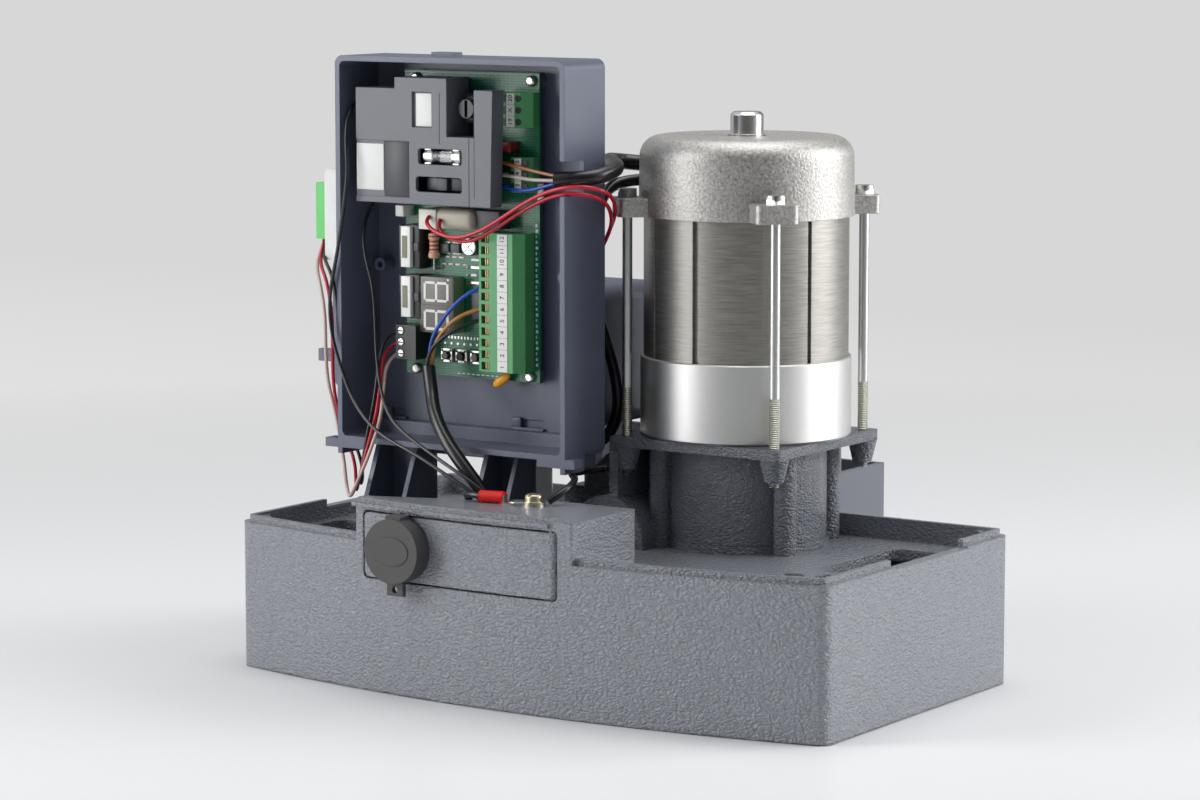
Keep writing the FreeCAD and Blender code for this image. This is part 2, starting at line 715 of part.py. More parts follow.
def worm_shaft():
    thread = worm_thread()
    thread.rotate(V(0, 0, 0), V(0, 0, 1), 180)
    thread.translate(V(motor_x, motor_y, output_z))
    r = shaft_diameter / 2.0
    end_r = shaft_end_diameter / 2.0
    half = worm_length / 2.0
    core = worm_root_radius
    collar = r + 1.6
    low = output_z - half
    high = output_z + half
    bottom = worm_bearing_bottom + 0.5
    seat_top = worm_bearing_bottom + worm_bearing[2]
    profile = [
        (0, bottom), (r - 0.8, bottom), (r, bottom + 0.8), (r, seat_top), (collar, seat_top),
        (collar, low - 1.2), (core, low), (core, high), (collar, high + 1.2), (collar, mid_bearing_z),
        (r, mid_bearing_z), (r, cap_bearing_z - 2.0), (r, cap_top + shaft_step), (end_r, cap_top + shaft_step),
        (end_r, shaft_top - shaft_chamfer), (end_r - shaft_chamfer, shaft_top), (0, shaft_top),
    ]
    shaft = turned(profile, V(motor_x, motor_y, 0), V(0, 0, 1))
    return fuse([shaft, thread])


def rotor_core():
    r = shaft_diameter / 2.0
    core = turned([(r, core_bottom), (core_radius, core_bottom), (core_radius, core_top), (r, core_top)],
                  V(motor_x, motor_y, 0), V(0, 0, 1))
    rings = []
    for z0, z1 in ((core_bottom - 5.0, core_bottom), (core_top, core_top + 5.0)):
        rings.append(turned([(14.0, z0), (24.0, z0), (24.0, z1), (14.0, z1)], V(motor_x, motor_y, 0), V(0, 0, 1)))
    return fuse([core] + rings)


def gear_wire(y, angle, teeth, pitch_r, root_r, tip_r, module, flank_play):
    # one closed toothed outline in the plane at y, turned by angle about the output axis
    step = 2 * math.pi / teeth
    pressure = math.radians(20)
    base_r = pitch_r * math.cos(pressure)
    half_pitch = step / 4.0 - flank_play / (2.0 * pitch_r)
    inv = math.tan(pressure) - pressure

    def flank_angle(r):
        if r <= base_r:
            a = 0.0
        else:
            a = math.acos(base_r / r)
        return half_pitch + inv - (math.tan(a) - a)

    radii = (max(root_r + 0.25, base_r), pitch_r, tip_r)
    edges = []
    points = []
    for n in range(teeth):
        mid = angle + n * step
        left = [(r, mid - flank_angle(r)) for r in radii]
        right = [(r, mid + flank_angle(r)) for r in reversed(radii)]
        points.append((root_r, mid - flank_angle(radii[0]) - 0.1 * step * 0.5))
        points.extend(left)
        points.extend(right)
        points.append((root_r, mid + flank_angle(radii[0]) + 0.1 * step * 0.5))
    corners = [V(r * math.cos(a), y, r * math.sin(a)) for r, a in points]
    for n, corner in enumerate(corners):
        edges.append(Part.makeLine(corner, corners[(n + 1) % len(corners)]))
    return Part.Wire(edges)


def worm_wheel():
    y0 = wheel_front
    y1 = wheel_back
    slant = worm_lead / (2 * math.pi * worm_pitch_radius)
    half_turn = slant * wheel_width / 2.0 / wheel_pitch_radius
    # a tooth space faces the worm thread at the mid plane
    start = math.pi / wheel_teeth
    low = gear_wire(y0, start + half_turn, wheel_teeth, wheel_pitch_radius, wheel_root_radius,
                    wheel_tip_radius, gear_module, tooth_play)
    high = gear_wire(y1, start - half_turn, wheel_teeth, wheel_pitch_radius, wheel_root_radius,
                     wheel_tip_radius, gear_module, tooth_play)
    rim = Part.makeLoft([low, high], True, True)
    rim.translate(V(0, 0, output_z))
    bore = barrel(0, output_z, y0 - 1, y1 + 1, rear_bearing[0] / 2.0 + running_gap)
    recess = []
    for a, b in ((y0 - 1, y0 + 4.0), (y1 - 4.0, y1 + 1)):
        ring = barrel(0, output_z, a, b, 25.0).cut(barrel(0, output_z, a, b, 16.0))
        recess.append(ring)
    dogs = []
    for n in range(4):
        dog = block(-2.2, 2.2, y1 - 3.0, y1 + 1, output_z - 17, output_z + 17)
        dog.rotate(V(0, y1, output_z), V(0, 1, 0), 45 * n)
        dogs.append(dog)
    slots = fuse(dogs).cut(barrel(0, output_z, y1 - 5, y1 + 2, 10.0))
    return rim.cut(fuse([bore] + recess)).cut(slots)


sleeve_start = wheel_back + 0.3
sleeve_length = 9.5
sleeve_radius = 15.5
cross_pin_radius = 2.0
cross_pin_y = sleeve_start + 5.5


def output_shaft():
    r_front = front_bearing[0] / 2.0
    r = rear_bearing[0] / 2.0
    end = pinion_start + pinion_width + 5.0
    y_shoulder = front_bearing_y + front_bearing[2]
    profile = [
        (push_rod_radius + 0.2, front_bearing_y), (r_front, front_bearing_y), (r_front, y_shoulder),
        (output_shoulder, y_shoulder), (output_shoulder, wheel_front - 0.3), (r, wheel_front - 0.3), (r, end - 1.0), (r - 1.0, end),
        (0, end), (0, cross_pin_y + 10), (push_rod_radius + 0.2, cross_pin_y + 10),
    ]
    shaft = turned(profile, V(0, 0, output_z), V(0, 1, 0))
    slot_r = cross_pin_radius + 0.15
    slot = fuse([
        bar_z(0, cross_pin_y, slot_r),
        bar_z(0, cross_pin_y + clutch_travel, slot_r),
        block(-slot_r, slot_r, cross_pin_y, cross_pin_y + clutch_travel, output_z - 12, output_z + 12),
    ])
    groove = turned([(r - 0.8, 0), (r + 1, 0), (r + 1, 1.2), (r - 0.8, 1.2)],
                    V(0, pinion_start + pinion_width + 0.1, output_z), V(0, 1, 0))
    keyway = block(-3.0, 3.0, pinion_start, pinion_start + pinion_width, output_z + r - 3.0, output_z + r + 1)
    return shaft.cut(fuse([slot, groove, keyway]))


def bar_z(x, y, radius):
    return Part.makeCylinder(radius, 24.0, V(x, y, output_z - 12.0), V(0, 0, 1))


def clutch_sleeve():
    y0 = sleeve_start
    y1 = sleeve_start + sleeve_length
    body = barrel(0, output_z, y0, y1, sleeve_radius)
    bore = barrel(0, output_z, y0 - 4, y1 + 1, rear_bearing[0] / 2.0 + 0.05)
    groove = turned([(sleeve_radius - 2, 0), (sleeve_radius + 1, 0), (sleeve_radius + 1, 2.0),
                     (sleeve_radius - 2, 2.0)], V(0, y1 - 3.2, output_z), V(0, 1, 0))
    dogs = []
    for n in range(4):
        dog = block(-1.9, 1.9, y0 - 2.6, y0 + 1, output_z - 15.2, output_z + 15.2)
        dog.rotate(V(0, y0, output_z), V(0, 1, 0), 45 * n)
        dogs.append(dog)
    pin_hole = bar_z_long(cross_pin_y, cross_pin_radius)
    return fuse([body] + dogs).cut(fuse([bore, groove, pin_hole]))


def bar_z_long(y, radius):
    reach = sleeve_radius - 2.0
    return Part.makeCylinder(radius, 2 * reach, V(0, y, output_z - reach), V(0, 0, 1))


def push_rod():
    front = slider_back + 0.2
    rod = barrel(0, output_z, front, cross_pin_y + cross_pin_radius + 2.0, push_rod_radius)
    return rod.cut(bar_z_long(cross_pin_y, cross_pin_radius))


def clutch_pin():
    return bar_z_long(cross_pin_y, cross_pin_radius)


def clutch_spring():
    y0 = sleeve_start + sleeve_length + 0.05
    wire = 0.6
    mean = 12.6
    turns = 2.5
    height = rear_bearing_y - clutch_travel - 0.3 - y0 - 2 * wire
    helix = Part.makeHelix(height / turns, height, mean)
    corners = [V(mean + a * wire, 0, b * wire) for a, b in ((-1, -1), (1, -1), (1, 1), (-1, 1))]
    profile = Part.makePolygon(corners + [corners[0]])
    spring = Part.Wire(helix).makePipeShell([profile], True, True)
    spring.Placement = FreeCAD.Placement(V(0, y0 + wire, output_z), FreeCAD.Rotation(V(1, 0, 0), -90))
    return spring


def drive_pinion():
    root = pinion_module * pinion_teeth / 2.0 - 1.25 * pinion_module
    tip = pinion_module * pinion_teeth / 2.0 + pinion_module
    y0 = pinion_start
    y1 = pinion_start + pinion_width
    wires = [gear_wire(y, math.pi / 2, pinion_teeth, pinion_module * pinion_teeth / 2.0, root, tip,
                       pinion_module, tooth_play) for y in (y0, y1)]
    teeth = Part.makeLoft(wires, True, True)
    teeth.translate(V(0, 0, output_z))
    hub = barrel(0, output_z, rear_face + 0.6, y0 + 1, 16.0)
    bore = barrel(0, output_z, rear_face, y1 + 1, rear_bearing[0] / 2.0)
    keyway = block(-3.0, 3.0, y0 - 8, y1 + 1, output_z, output_z + rear_bearing[0] / 2.0 + 2.8)
    return fuse([teeth, hub]).cut(fuse([bore, keyway]))


def pinion_fixings():
    r = rear_bearing[0] / 2.0
    y1 = pinion_start + pinion_width
    ring = turned([(r - 0.8, 0), (r + 3.2, 0), (r + 3.2, 1.2), (r - 0.8, 1.2)],
                  V(0, y1 + 0.1, output_z), V(0, 1, 0))
    ring = ring.cut(block(-3, 3, y1 - 1, y1 + 3, output_z - 20, output_z))
    key = block(-3.0, 3.0, pinion_start, y1, output_z + r - 3.0, output_z + r + 2.8)
    return group([ring, key])


# Motor shell
def motor_ring():
    r = ring_radius
    profile = [
        (17.6, flange_top), (r - 1.0, flange_top), (r, flange_top + 1.0), (r, ring_top - 0.6), (r - 0.6, ring_top),
        (stator_radius, ring_top), (stator_radius, ring_top - 4.0), (r - 4.5, ring_top - 4.0),
        (r - 4.5, flange_top + 4.0), (17.6, flange_top + 4.0),
    ]
    return turned(profile, V(motor_x, motor_y, 0), V(0, 0, 1))


groove_angles = (-100.0, -80.0, -27.0, 10.0, 63.0, 100.0, 153.0, 190.0, 243.0)


def stator_stack():
    z0 = ring_top - 4.0
    z1 = cap_bottom + 3.0
    ring = turned([(stator_bore, z0), (stator_radius, z0), (stator_radius, z1), (stator_bore, z1)],
                  V(motor_x, motor_y, 0), V(0, 0, 1))
    grooves = []
    for n in range(8):
        angle = math.radians(-102.0 + 45.0 * n)
        x = motor_x + stator_radius * math.cos(angle)
        y = motor_y + stator_radius * math.sin(angle)
        groove = block(-1.4, 1.4, -1.1, 1.1, z0 - 1, z1 + 1)
        groove.rotate(V(0, 0, 0), V(0, 0, 1), math.degrees(angle))
        groove.translate(V(x, y, 0))
        grooves.append(groove)
    return ring.cut(group(grooves))


def stator_windings():
    coils = []
    for z0, z1 in ((ring_top - 17.0, ring_top - 4.2), (cap_bottom + 3.2, cap_bottom + 15.5)):
        coils.append(turned([(30.0, z0 + 2), (32.0, z0), (38.5, z0), (40.5, z0 + 2), (40.5, z1), (30.0, z1)],
                            V(motor_x, motor_y, 0), V(0, 0, 1)))
    return group(coils)


def end_cap():
    r = cap_radius
    centre = V(motor_x, motor_y, 0)
    outer = turned([(0, cap_bottom), (r, cap_bottom), (r - 0.5, cap_top - 4), (r - 0.5, cap_top), (0, cap_top)],
                   centre, V(0, 0, 1))
    top_edges = [e for e in outer.Edges if e.BoundBox.ZMin > cap_top - 0.1 and e.Curve.TypeId == "Part::GeomCircle"]
    outer = outer.makeFillet(cap_edge, top_edges)
    inside = turned([
        (0, cap_bottom - 1), (stator_radius, cap_bottom - 1), (stator_radius, cap_bottom + 3.0),
        (r - cap_wall - 1.0, cap_bottom + 3.0), (r - cap_wall - 1.0, cap_top - 14.0), (r - cap_wall - 9.0, cap_top - 5.0),
        (small_bearing[1] / 2.0, cap_top - 5.0), (small_bearing[1] / 2.0, cap_top - 5.0), (0, cap_top - 5.0),
    ], centre, V(0, 0, 1))
    seat = post(motor_x, motor_y, cap_bearing_z - 1.0, cap_top - 4.5, small_bearing[1] / 2.0 + 3.5)
    seat = seat.cut(post(motor_x, motor_y, cap_bearing_z - 2.0, cap_top - 5.0, small_bearing[1] / 2.0))
    lugs = []
    holes = []
    for x, y in rod_places():
        angle = math.degrees(math.atan2(y - motor_y, x - motor_x))
        lug = block(r - 6.0, lug_reach, -lug_width / 2.0, lug_width / 2.0, cap_bottom, cap_bottom + lug_height)
        lug = softened(lug, V(0, 0, 1), 3.0)
        lug.rotate(V(0, 0, 0), V(0, 0, 1), angle)
        lug.translate(V(motor_x, motor_y, 0))
        lugs.append(lug)
        holes.append(post(x, y, cap_bottom - 1, cap_bottom + lug_height + 1, rod_diameter / 2.0 + 0.4))
    shell = fuse([outer.cut(inside), seat] + [lug.cut(post(motor_x, motor_y, 0, 300, r - 2.0)) for lug in lugs])
    holes.append(post(motor_x, motor_y, cap_top - 6, cap_top + 1, shaft_diameter / 2.0 + 1.0))
    for radius, side, z in cap_outlets:
        away = V(math.cos(math.radians(side)), math.sin(math.radians(side)), 0)
        holes.append(Part.makeCylinder(radius, 12.0, V(motor_x, motor_y, z) + away * (r - 8), away))
    return shell.cut(group(holes))


# outlet holes for the leads: radius, direction in degrees, height
cap_outlets = ((3.9, 188.4, 224.0), (3.0, 203.0, 218.0))


def tie_rods():
    rods = []
    top = cap_bottom + lug_height
    for x, y in rod_places():
        head = hexagon(x, y, top, top + rod_head_height, rod_head_flats)
        head = head.common(Part.makeCone(rod_head_flats * 0.62, rod_head_flats * 0.5, rod_head_height,
                                         V(x, y, top)))
        shank = post(x, y, flange_top - flange_thickness - 12.0, top, rod_diameter / 2.0)
        rods.append(fuse([head, shank]))
    return group(rods)


# Control box and its stand
def control_box():
    back = box_front + box_depth
    outer = rounded_block(box_left, box_right, box_front, back, box_bottom, box_top, box_corner, V(0, 1, 0))
    inner = rounded_block(box_left + box_wall, box_right - box_wall, box_front - 1, back - box_wall,
                          box_bottom + box_wall, box_top - box_wall, box_corner - 1.5, V(0, 1, 0))
    shell = outer.cut(inner)
    parts = [shell]
    inner_back = back - box_wall
    for x, z in board_holes():
        parts.append(barrel(x, z, board_front + board_thickness, inner_back + 1, 3.4))
    for x, z in ((-113.8, 177.7), (-14.0, 177.0)):
        parts.append(barrel(x, z, inner_back - 8.0, inner_back + 1, 3.0))
    # loop tabs for the cover clips under the two bottom corners
    for x0, x1 in ((-129.5, -108.0), (-14.0, 5.6)):
        tab = block(x0, x1, box_front, box_front + 7.0, box_bottom - 3.0, box_bottom + 1.0)
        hole = block(x0 + 3.0, x1 - 6.0, box_front + 2.2, box_front + 5.0, box_bottom - 6, box_bottom + 4)
        parts.append(tab.cut(hole))
    skirt_front = block(box_right - box_wall, box_right, box_front, box_front + 15.0, box_bottom - 5.6, box_bottom + 3)
    skirt_left = block(box_left, box_left + box_wall, box_front, box_front + 15.0, box_bottom - 5.6, box_bottom + 3)
    parts.extend([skirt_front, skirt_left])
    clip = block(-76.0, -63.6, box_front + 9, box_front + 15, box_top - 1, box_top + 2.0)
    parts.append(clip)
    ledge = block(box_left + 1, box_right - 1, inner_back - 7.0, inner_back + 1, box_bottom + 1, box_bottom + 8.0)
    parts.append(ledge)
    shell = fuse(parts)
    tools = [
        block(box_right - box_wall - 1, box_right + 1, box_front - 1, box_front + notch_depth, notch_bottom, notch_top),
        block(-116.5, -105.5, inner_back - 1, back + 1, 108.8, 112.2),
        block(-45.0, -30.0, inner_back - 1, back + 1, 108.8, 112.2),
    ]
    for x, z in board_holes():
        tools.append(barrel(x, z, board_front, inner_back - 0.5, 1.3))
    for x, z in ((-113.8, 177.7), (-14.0, 177.0)):
        tools.append(barrel(x, z, inner_back - 9.0, inner_back - 1.0, 1.4))
    return shell.cut(group(tools))


def board_holes():
    return [(board_left + 6.6, board_top - 3.4), (board_right - 3.8, board_top - 3.4),
            (board_left + 6.0, board_bottom + 2.3), (board_right - 4.8, board_bottom + 2.3)]


stand_web_y = -19.5
stand_web_thickness = 3.0
stand_lug = 11.0
stand_ribs = ((-111.4, -90.7), (-51.7, -35.5))


def box_stand():
    top = box_bottom - 0.0
    web_back = stand_web_y + stand_web_thickness
    parts = []
    for x0, x1 in stand_ribs:
        parts.append(block(x0 - 1.2, x1 + 1.2, stand_web_y, web_back, deck_height, top))
        for x in (x0, x1):
            side = [(stand_web_y + 1, deck_height), (stand_web_y - 25.0, deck_height),
                    (stand_web_y - 25.0, deck_height + 3.0), (stand_web_y - 9.0, top), (stand_web_y + 1, top)]
            corners = [V(x - 1.2, y, z) for y, z in side]
            wire = Part.makePolygon(corners + [corners[0]])
            parts.append(Part.Face(wire).extrude(V(2.4, 0, 0)))
        parts.append(block(x0 - 1.2, x1 + 1.2, stand_web_y - 25.0, web_back, deck_height, deck_height + 3.0))
        middle = (x0 + x1) / 2.0
        parts.append(block(middle - stand_lug / 2.0, middle + stand_lug / 2.0, web_back - 1, web_back + 8,
                           deck_height, deck_height + 3.0))
    parts.append(block(stand_ribs[0][0] - 1.2, stand_ribs[1][1] + 1.2, stand_web_y, web_back, top - 6.0, top))
    parts.append(block(stand_ribs[0][0] - 1.2, stand_ribs[1][1] + 1.2, box_front + box_depth, box_front + box_depth + 3.0,
                       top - 6.0, top + 40.0))
    parts.append(block(stand_ribs[0][0] - 1.2, stand_ribs[1][1] + 1.2, stand_web_y, box_front + box_depth + 3.0,
                       top - 6.0, top - 3.0))
    body = fuse(parts)
    holes = [post((a + b) / 2.0, web_back + 4.0, deck_height - 1, deck_height + 4, 2.2) for a, b in stand_ribs]
    return body.cut(group(holes))


def stand_screws():
    screws = []
    for a, b in stand_ribs:
        x = (a + b) / 2.0
        y = stand_web_y + stand_web_thickness + 4.0
        screws.append(cap_screw(V(x, y, deck_height + 3.0), V(0, 0, 1)))
    return screws


def cap_screw(seat, away):
    # head stands off the seat along away, the shank goes the other way
    head = Part.makeCylinder(3.8, 3.0, seat, away)
    recess = Part.makeCylinder(1.7, 2.0, seat + away * 1.4, away)
    shank = Part.makeCylinder(2.1, 3.0, seat, away * -1)
    return fuse([head.cut(recess), shank])


housing_x0 = -113.0
housing_x1 = -17.0
rear_housing_front = box_front + box_depth + 3.5
rear_housing_back = 58.0
rear_housing_top = 169.0


def rear_housing():
    z0 = deck_height + 0.0
    shell = block(housing_x0, housing_x1, rear_housing_front, rear_housing_back, z0 + 48.0, rear_housing_top)
    shell = softened(shell, V(0, 1, 0), 7.0)
    inner = block(housing_x0 + 2.5, housing_x1 - 2.5, rear_housing_front + 2.5, rear_housing_back - 2.5,
                  z0 + 50.5, rear_housing_top - 2.5)
    legs = []
    for x in (housing_x0 + 8.0, housing_x1 - 36.5):
        for y in (rear_housing_front + 2.6, rear_housing_back - 8.0):
            legs.append(block(x, x + 6.0, y, y + 6.0, z0, z0 + 50.0))
    return fuse([shell.cut(inner)] + legs)


def transformer():
    x0 = housing_x0 + 22.0
    y0 = rear_housing_front + 10.0
    z0 = deck_height + 50.5
    core = block(x0, x0 + 54.0, y0 + 11.0, y0 + 29.0, z0, z0 + 45.0)
    bobbin = rounded_block(x0 + 13.0, x0 + 41.0, y0, y0 + 40.0, z0 + 9.0, z0 + 36.0, 5.0, V(0, 1, 0))
    return fuse([core, bobbin])


capacitor_x = -66.0
capacitor_y = 16.0
capacitor_radius = 15.0
capacitor_height = 32.0


def run_capacitor():
    z0 = deck_height
    can = turned([(0, z0), (capacitor_radius - 1, z0), (capacitor_radius, z0 + 1.5), (capacitor_radius, z0 + capacitor_height - 2.5),
                  (capacitor_radius - 1.5, z0 + capacitor_height), (0, z0 + capacitor_height)], V(capacitor_x, capacitor_y, 0), V(0, 0, 1))
    return can


# Circuit board and what is on it
def circuit_board():
    y1 = board_front + board_thickness
    board = block(board_left, board_right, board_front, y1, board_bottom, board_top)
    holes = [barrel(x, z, board_front - 1, y1 + 1, 1.7) for x, z in board_holes()]
    return board.cut(group(holes))


def board_screws():
    screws = []
    for x, z in board_holes():
        head = barrel(x, z, board_front - 2.2, board_front, 2.4)
        head = head.makeFillet(1.2, [e for e in head.Edges if e.BoundBox.YMax < board_front - 2.1])
        shank = barrel(x, z, board_front, board_front + 6.0, 1.25)
        screws.append(fuse([head, shank]))
    return group(screws)


def terminal_block(x0, x1, z0, poles, reach, mouths_left):
    z1 = z0 + poles * pole_pitch
    front = board_front - reach
    body = block(x0, x1, front, board_front, z0, z1)
    bevel = [(x1 - 5.0, front - 1), (x1 + 1, front - 1), (x1 + 1, front + 5.0)]
    body = body.cut(plate_from(bevel, z0 - 1, z1 + 1))
    pockets = []
    for n in range(poles):
        z = z0 + (n + 0.5) * pole_pitch
        if mouths_left:
            pockets.append(block(x0 - 1, x0 + 4.0, front + 3.0, front + 6.6, z - 1.7, z + 1.7))
            pockets.append(block(x0 + 1.2, x0 + 5.4, front - 1, front + 3.2, z - 1.7, z + 1.7))
        else:
            pockets.append(block(x0 - 1, x0 + 4.0, front + 3.4, front + 7.0, z - 1.6, z + 1.6))
    return body.cut(group(pockets))


motor_block = (-52.3, -30.4, 134.6, 12)
top_block = (-42.5, -27.6, 241.7, 3)
mid_block = (-36.5, -27.6, 213.6, 3)


def terminal_blocks():
    blocks = []
    for x0, x1, z0, poles, reach, wide in (motor_block + (11.0, True), top_block + (8.6, False),
                                           mid_block + (8.6, False)):
        blocks.append(terminal_block(x0, x1, z0, poles, reach, wide))
    return blocks


relay_block = (-98.0, -87.0, 137.2, 3)


def sensor_block():
    x0, x1, z0, poles = relay_block
    z1 = z0 + poles * pole_pitch
    front = board_front - 11.0
    body = block(x0, x1, front, board_front, z0, z1)
    pockets = []
    for n in range(poles):
        z = z0 + (n + 0.5) * pole_pitch
        pockets.append(barrel(x0 + 3.0, z, front - 1, front + 1.6, 1.9))
        pockets.append(block(x0 + 2.0, x0 + 5.0, front + 4.0, front + 8.0, z - 1.5, z + 1.5).translated(V(-2.6, 0, 0)))
    return body.cut(group(pockets))


def board_cover():
    f = cover_front
    back = board_front - 0.4
    outline = [(-112.4, 207.4), (-39.6, 207.4), (-38.4, 258.0), (-48.2, 258.0), (-48.2, 237.4), (-62.9, 237.4),
               (-62.9, 262.7), (-91.0, 262.7), (-91.0, 257.8), (-112.4, 257.8)]
    shell = plate_xz(outline, f, f + 17.0)
    left_room = block(-110.4, -51.6, f + 2.0, f + 18.0, 209.4, 235.4)
    upper_room = block(-110.4, -64.9, f + 2.0, f + 18.0, 234.0, 255.8)
    right_room = block(-49.6, -41.6, f + 2.0, f + 18.0, 209.4, 256.0)
    under_right = block(-49.6, -37.0, f + 8.6, f + 18.0, 207.0, 260.0)
    tools = [left_room, upper_room, right_room, under_right]
    tools.append(block(-81.6, -70.9, f - 1, f + 1.2, 241.1, 256.6))
    tools.append(softened(block(-78.4, -54.8, f - 1, f + 3, 225.0, 232.0), V(0, 1, 0), 1.5))
    tools.append(softened(block(-79.6, -54.8, f - 1, f + 3, 212.9, 219.7), V(0, 1, 0), 1.5))
    tools.append(block(-113.0, -83.2, f - 1, f + 0.5, 209.9, 234.8))
    return shell.cut(group(tools))


def cover_feet():
    feet = []
    for x, z in ((-96.0, 214.0), (-96.0, 251.0), (-56.0, 222.0)):
        feet.append(barrel(x, z, cover_front + 2.0, board_front, 2.4))
    return feet


fuse_z = 228.5
fuse_x0 = -76.5
fuse_x1 = -56.5


def glass_fuse():
    y = cover_front + 3.4
    glass = bar_x(y, fuse_z, fuse_x0 + 4.8, fuse_x1 - 4.8, 2.3)
    ends = [bar_x(y, fuse_z, fuse_x0, fuse_x0 + 5.0, 2.6), bar_x(y, fuse_z, fuse_x1 - 5.0, fuse_x1, 2.6)]
    return fuse([glass] + ends)


def fuse_holder():
    y = cover_front + 3.4
    base = block(fuse_x0 - 1.0, fuse_x1 + 1.0, y + 3.4, board_front, fuse_z - 4.0, fuse_z + 4.0)
    clips = []
    for x in (fuse_x0 + 0.6, fuse_x1 - 4.2):
        for z0 in (fuse_z - 3.4, fuse_z + 2.7):
            clips.append(block(x, x + 3.6, y - 2.0, y + 3.6, z0, z0 + 0.7))
    return fuse([base] + clips)


knob_x = -56.0
knob_z = 249.6
knob_radius = 4.1


def force_trimmer():
    body = block(knob_x - 6.0, knob_x + 6.0, board_front - 8.0, board_front, knob_z - 6.5, knob_z + 6.5)
    collar = barrel(knob_x, knob_z, board_front - 11.0, board_front - 7.5, 5.0)
    return fuse([body, collar]).cut(barrel(knob_x, knob_z, board_front - 12.0, board_front - 3.0, knob_radius + 0.1))


def force_knob():
    front = board_front - 15.0
    knob = barrel(knob_x, knob_z, front, board_front - 3.2, knob_radius)
    slot = block(knob_x - 0.7, knob_x + 0.7, front - 1, front + 1.6, knob_z - 3.6, knob_z + 3.6)
    return knob.cut(slot)


def number_display():
    body = block(-87.0, -63.4, board_front - 8.0, board_front, 150.2, 174.2)
    return body


def plug_sockets():
    sockets = []
    for z0, z1 in ((177.6, 197.0), (155.4, 174.6)):
        body = block(-96.4, -87.4, board_front - 10.0, board_front, z0, z1)
        slot = block(-94.6, -89.4, board_front - 11.0, board_front - 3.0, z0 + 3.0, z1 - 3.0)
        sockets.append(body.cut(slot))
    return sockets


def relay():
    x0, x1 = -83.6, -56.2
    body = rounded_block(x0, x1, board_front - 13.0, board_front, 196.0, 205.2, 1.0, V(1, 0, 0))
    return body


def small_components():
    f = board_front
    parts = [
        bar_x_z(-81.2, f - 3.4, 182.5, 193.5, 2.6),
        block(-79.0, -75.2, f - 2.4, f, 184.6, 189.0),
        block(-73.2, -69.2, f - 2.4, f, 184.6, 189.0),
        barrel(-60.8, 188.6, f - 7.0, f, 4.0),
        block(-56.0, -42.8, f - 9.0, f, 197.4, 205.0),
        block(-43.6, -37.6, f - 8.0, f, 230.6, 235.4),
        block(-100.0, -96.2, f - 8.0, f, 200.2, 205.2),
        fuse([barrel(-45.6, 134.4 - 3.9, f - 5.0, f - 1.4, 3.6), block(-46.0, -45.2, f - 2.0, f, 130.2, 132.0)]),
    ]
    return parts


def bar_x_z(x, y, z0, z1, radius):
    return Part.makeCylinder(radius, z1 - z0, V(x, y, z0), V(0, 0, 1)).fuse(
        block(x - 0.4, x + 0.4, y, board_front, z0 + 0.6, z0 + 1.4)).fuse(
        block(x - 0.4, x + 0.4, y, board_front, z1 - 1.4, z1 - 0.6))


button_places = ((-75.6, 139.3), (-67.6, 139.3), (-59.6, 139.3))
button_travel = 0.4


def button_cases():
    cases = []
    for x, z in button_places:
        body = block(x - 3.0, x + 3.0, board_front - 3.5, board_front, z - 3.0, z + 3.0)
        cases.append(body.cut(barrel(x, z, board_front - 4.0, board_front - 1.0, 1.75)))
    return cases


def push_button(x, z):
    return barrel(x, z, board_front - 5.0, board_front - 1.0 - button_travel - 0.1, 1.65)


# Receiver on the outside of the box
receiver_x0 = -140.5
receiver_front = -30.0
receiver_bottom = 179.0
receiver_top = 219.8


def receiver():
    body = block(receiver_x0, box_left, receiver_front, receiver_front + 14.0, receiver_bottom, receiver_top)
    return softened(body, V(0, 1, 0), 1.5)


def receiver_terminal():
    z0 = 188.0
    body = block(receiver_x0 - 6.5, receiver_x0, receiver_front + 2.0, receiver_front + 10.0, z0, z0 + 5 * pole_pitch)
    holes = [bar_x(receiver_front + 6.0, z0 + (n + 0.7) * 6.0, receiver_x0 - 8.0, receiver_x0 - 3.0, 1.4)
             for n in range(4)]
    return body.cut(group(holes))


def side_bracket():
    plate = block(box_left - 14.0, box_left, receiver_front, receiver_front + 3.0, 121.5, receiver_bottom - 0.4)
    plate = softened(plate, V(0, 1, 0), 5.0)
    back = block(box_left - 3.0, box_left, receiver_front, receiver_front + 12.0, 127.0, receiver_bottom - 6.0)
    hook = block(box_left - 24.0, box_left - 8.0, receiver_front + 2.0, receiver_front + 6.0, 132.5, 138.0)
    return fuse([plate, back, hook])


# Pinion guard behind the base
def pinion_guard():
    x = guard_half_width
    w = guard_wall
    y0 = rear_face
    plate = block(-x, x, y0, y0 + w, guard_bottom, guard_plate_top)
    walls = [
        block(-x, -x + w, y0, guard_back, guard_bottom, guard_top),
        block(x - w, x, y0, guard_back, guard_bottom, guard_top),
        block(-x, x, guard_back - w, guard_back, guard_bottom, guard_top),
        block(-x, x, y0, guard_back, guard_bottom, guard_bottom + w),
    ]
    body = fuse([plate] + walls)
    tools = [barrel(0, output_z, y0 - 1, y0 + w + 1, 19.0)]
    for sx in (-1, 1):
        tools.append(barrel(sx * 50.0, 40.0, y0 - 1, y0 + w + 1, 2.2))
    return body.cut(group(tools))


def guard_screws():
    return [cap_screw(V(sx * 50.0, rear_face + guard_wall, 40.0), V(0, 1, 0)) for sx in (-1, 1)]


# Earth connection on the release housing
earth_x = -3.0
earth_y = -63.0
lug_x = -14.0


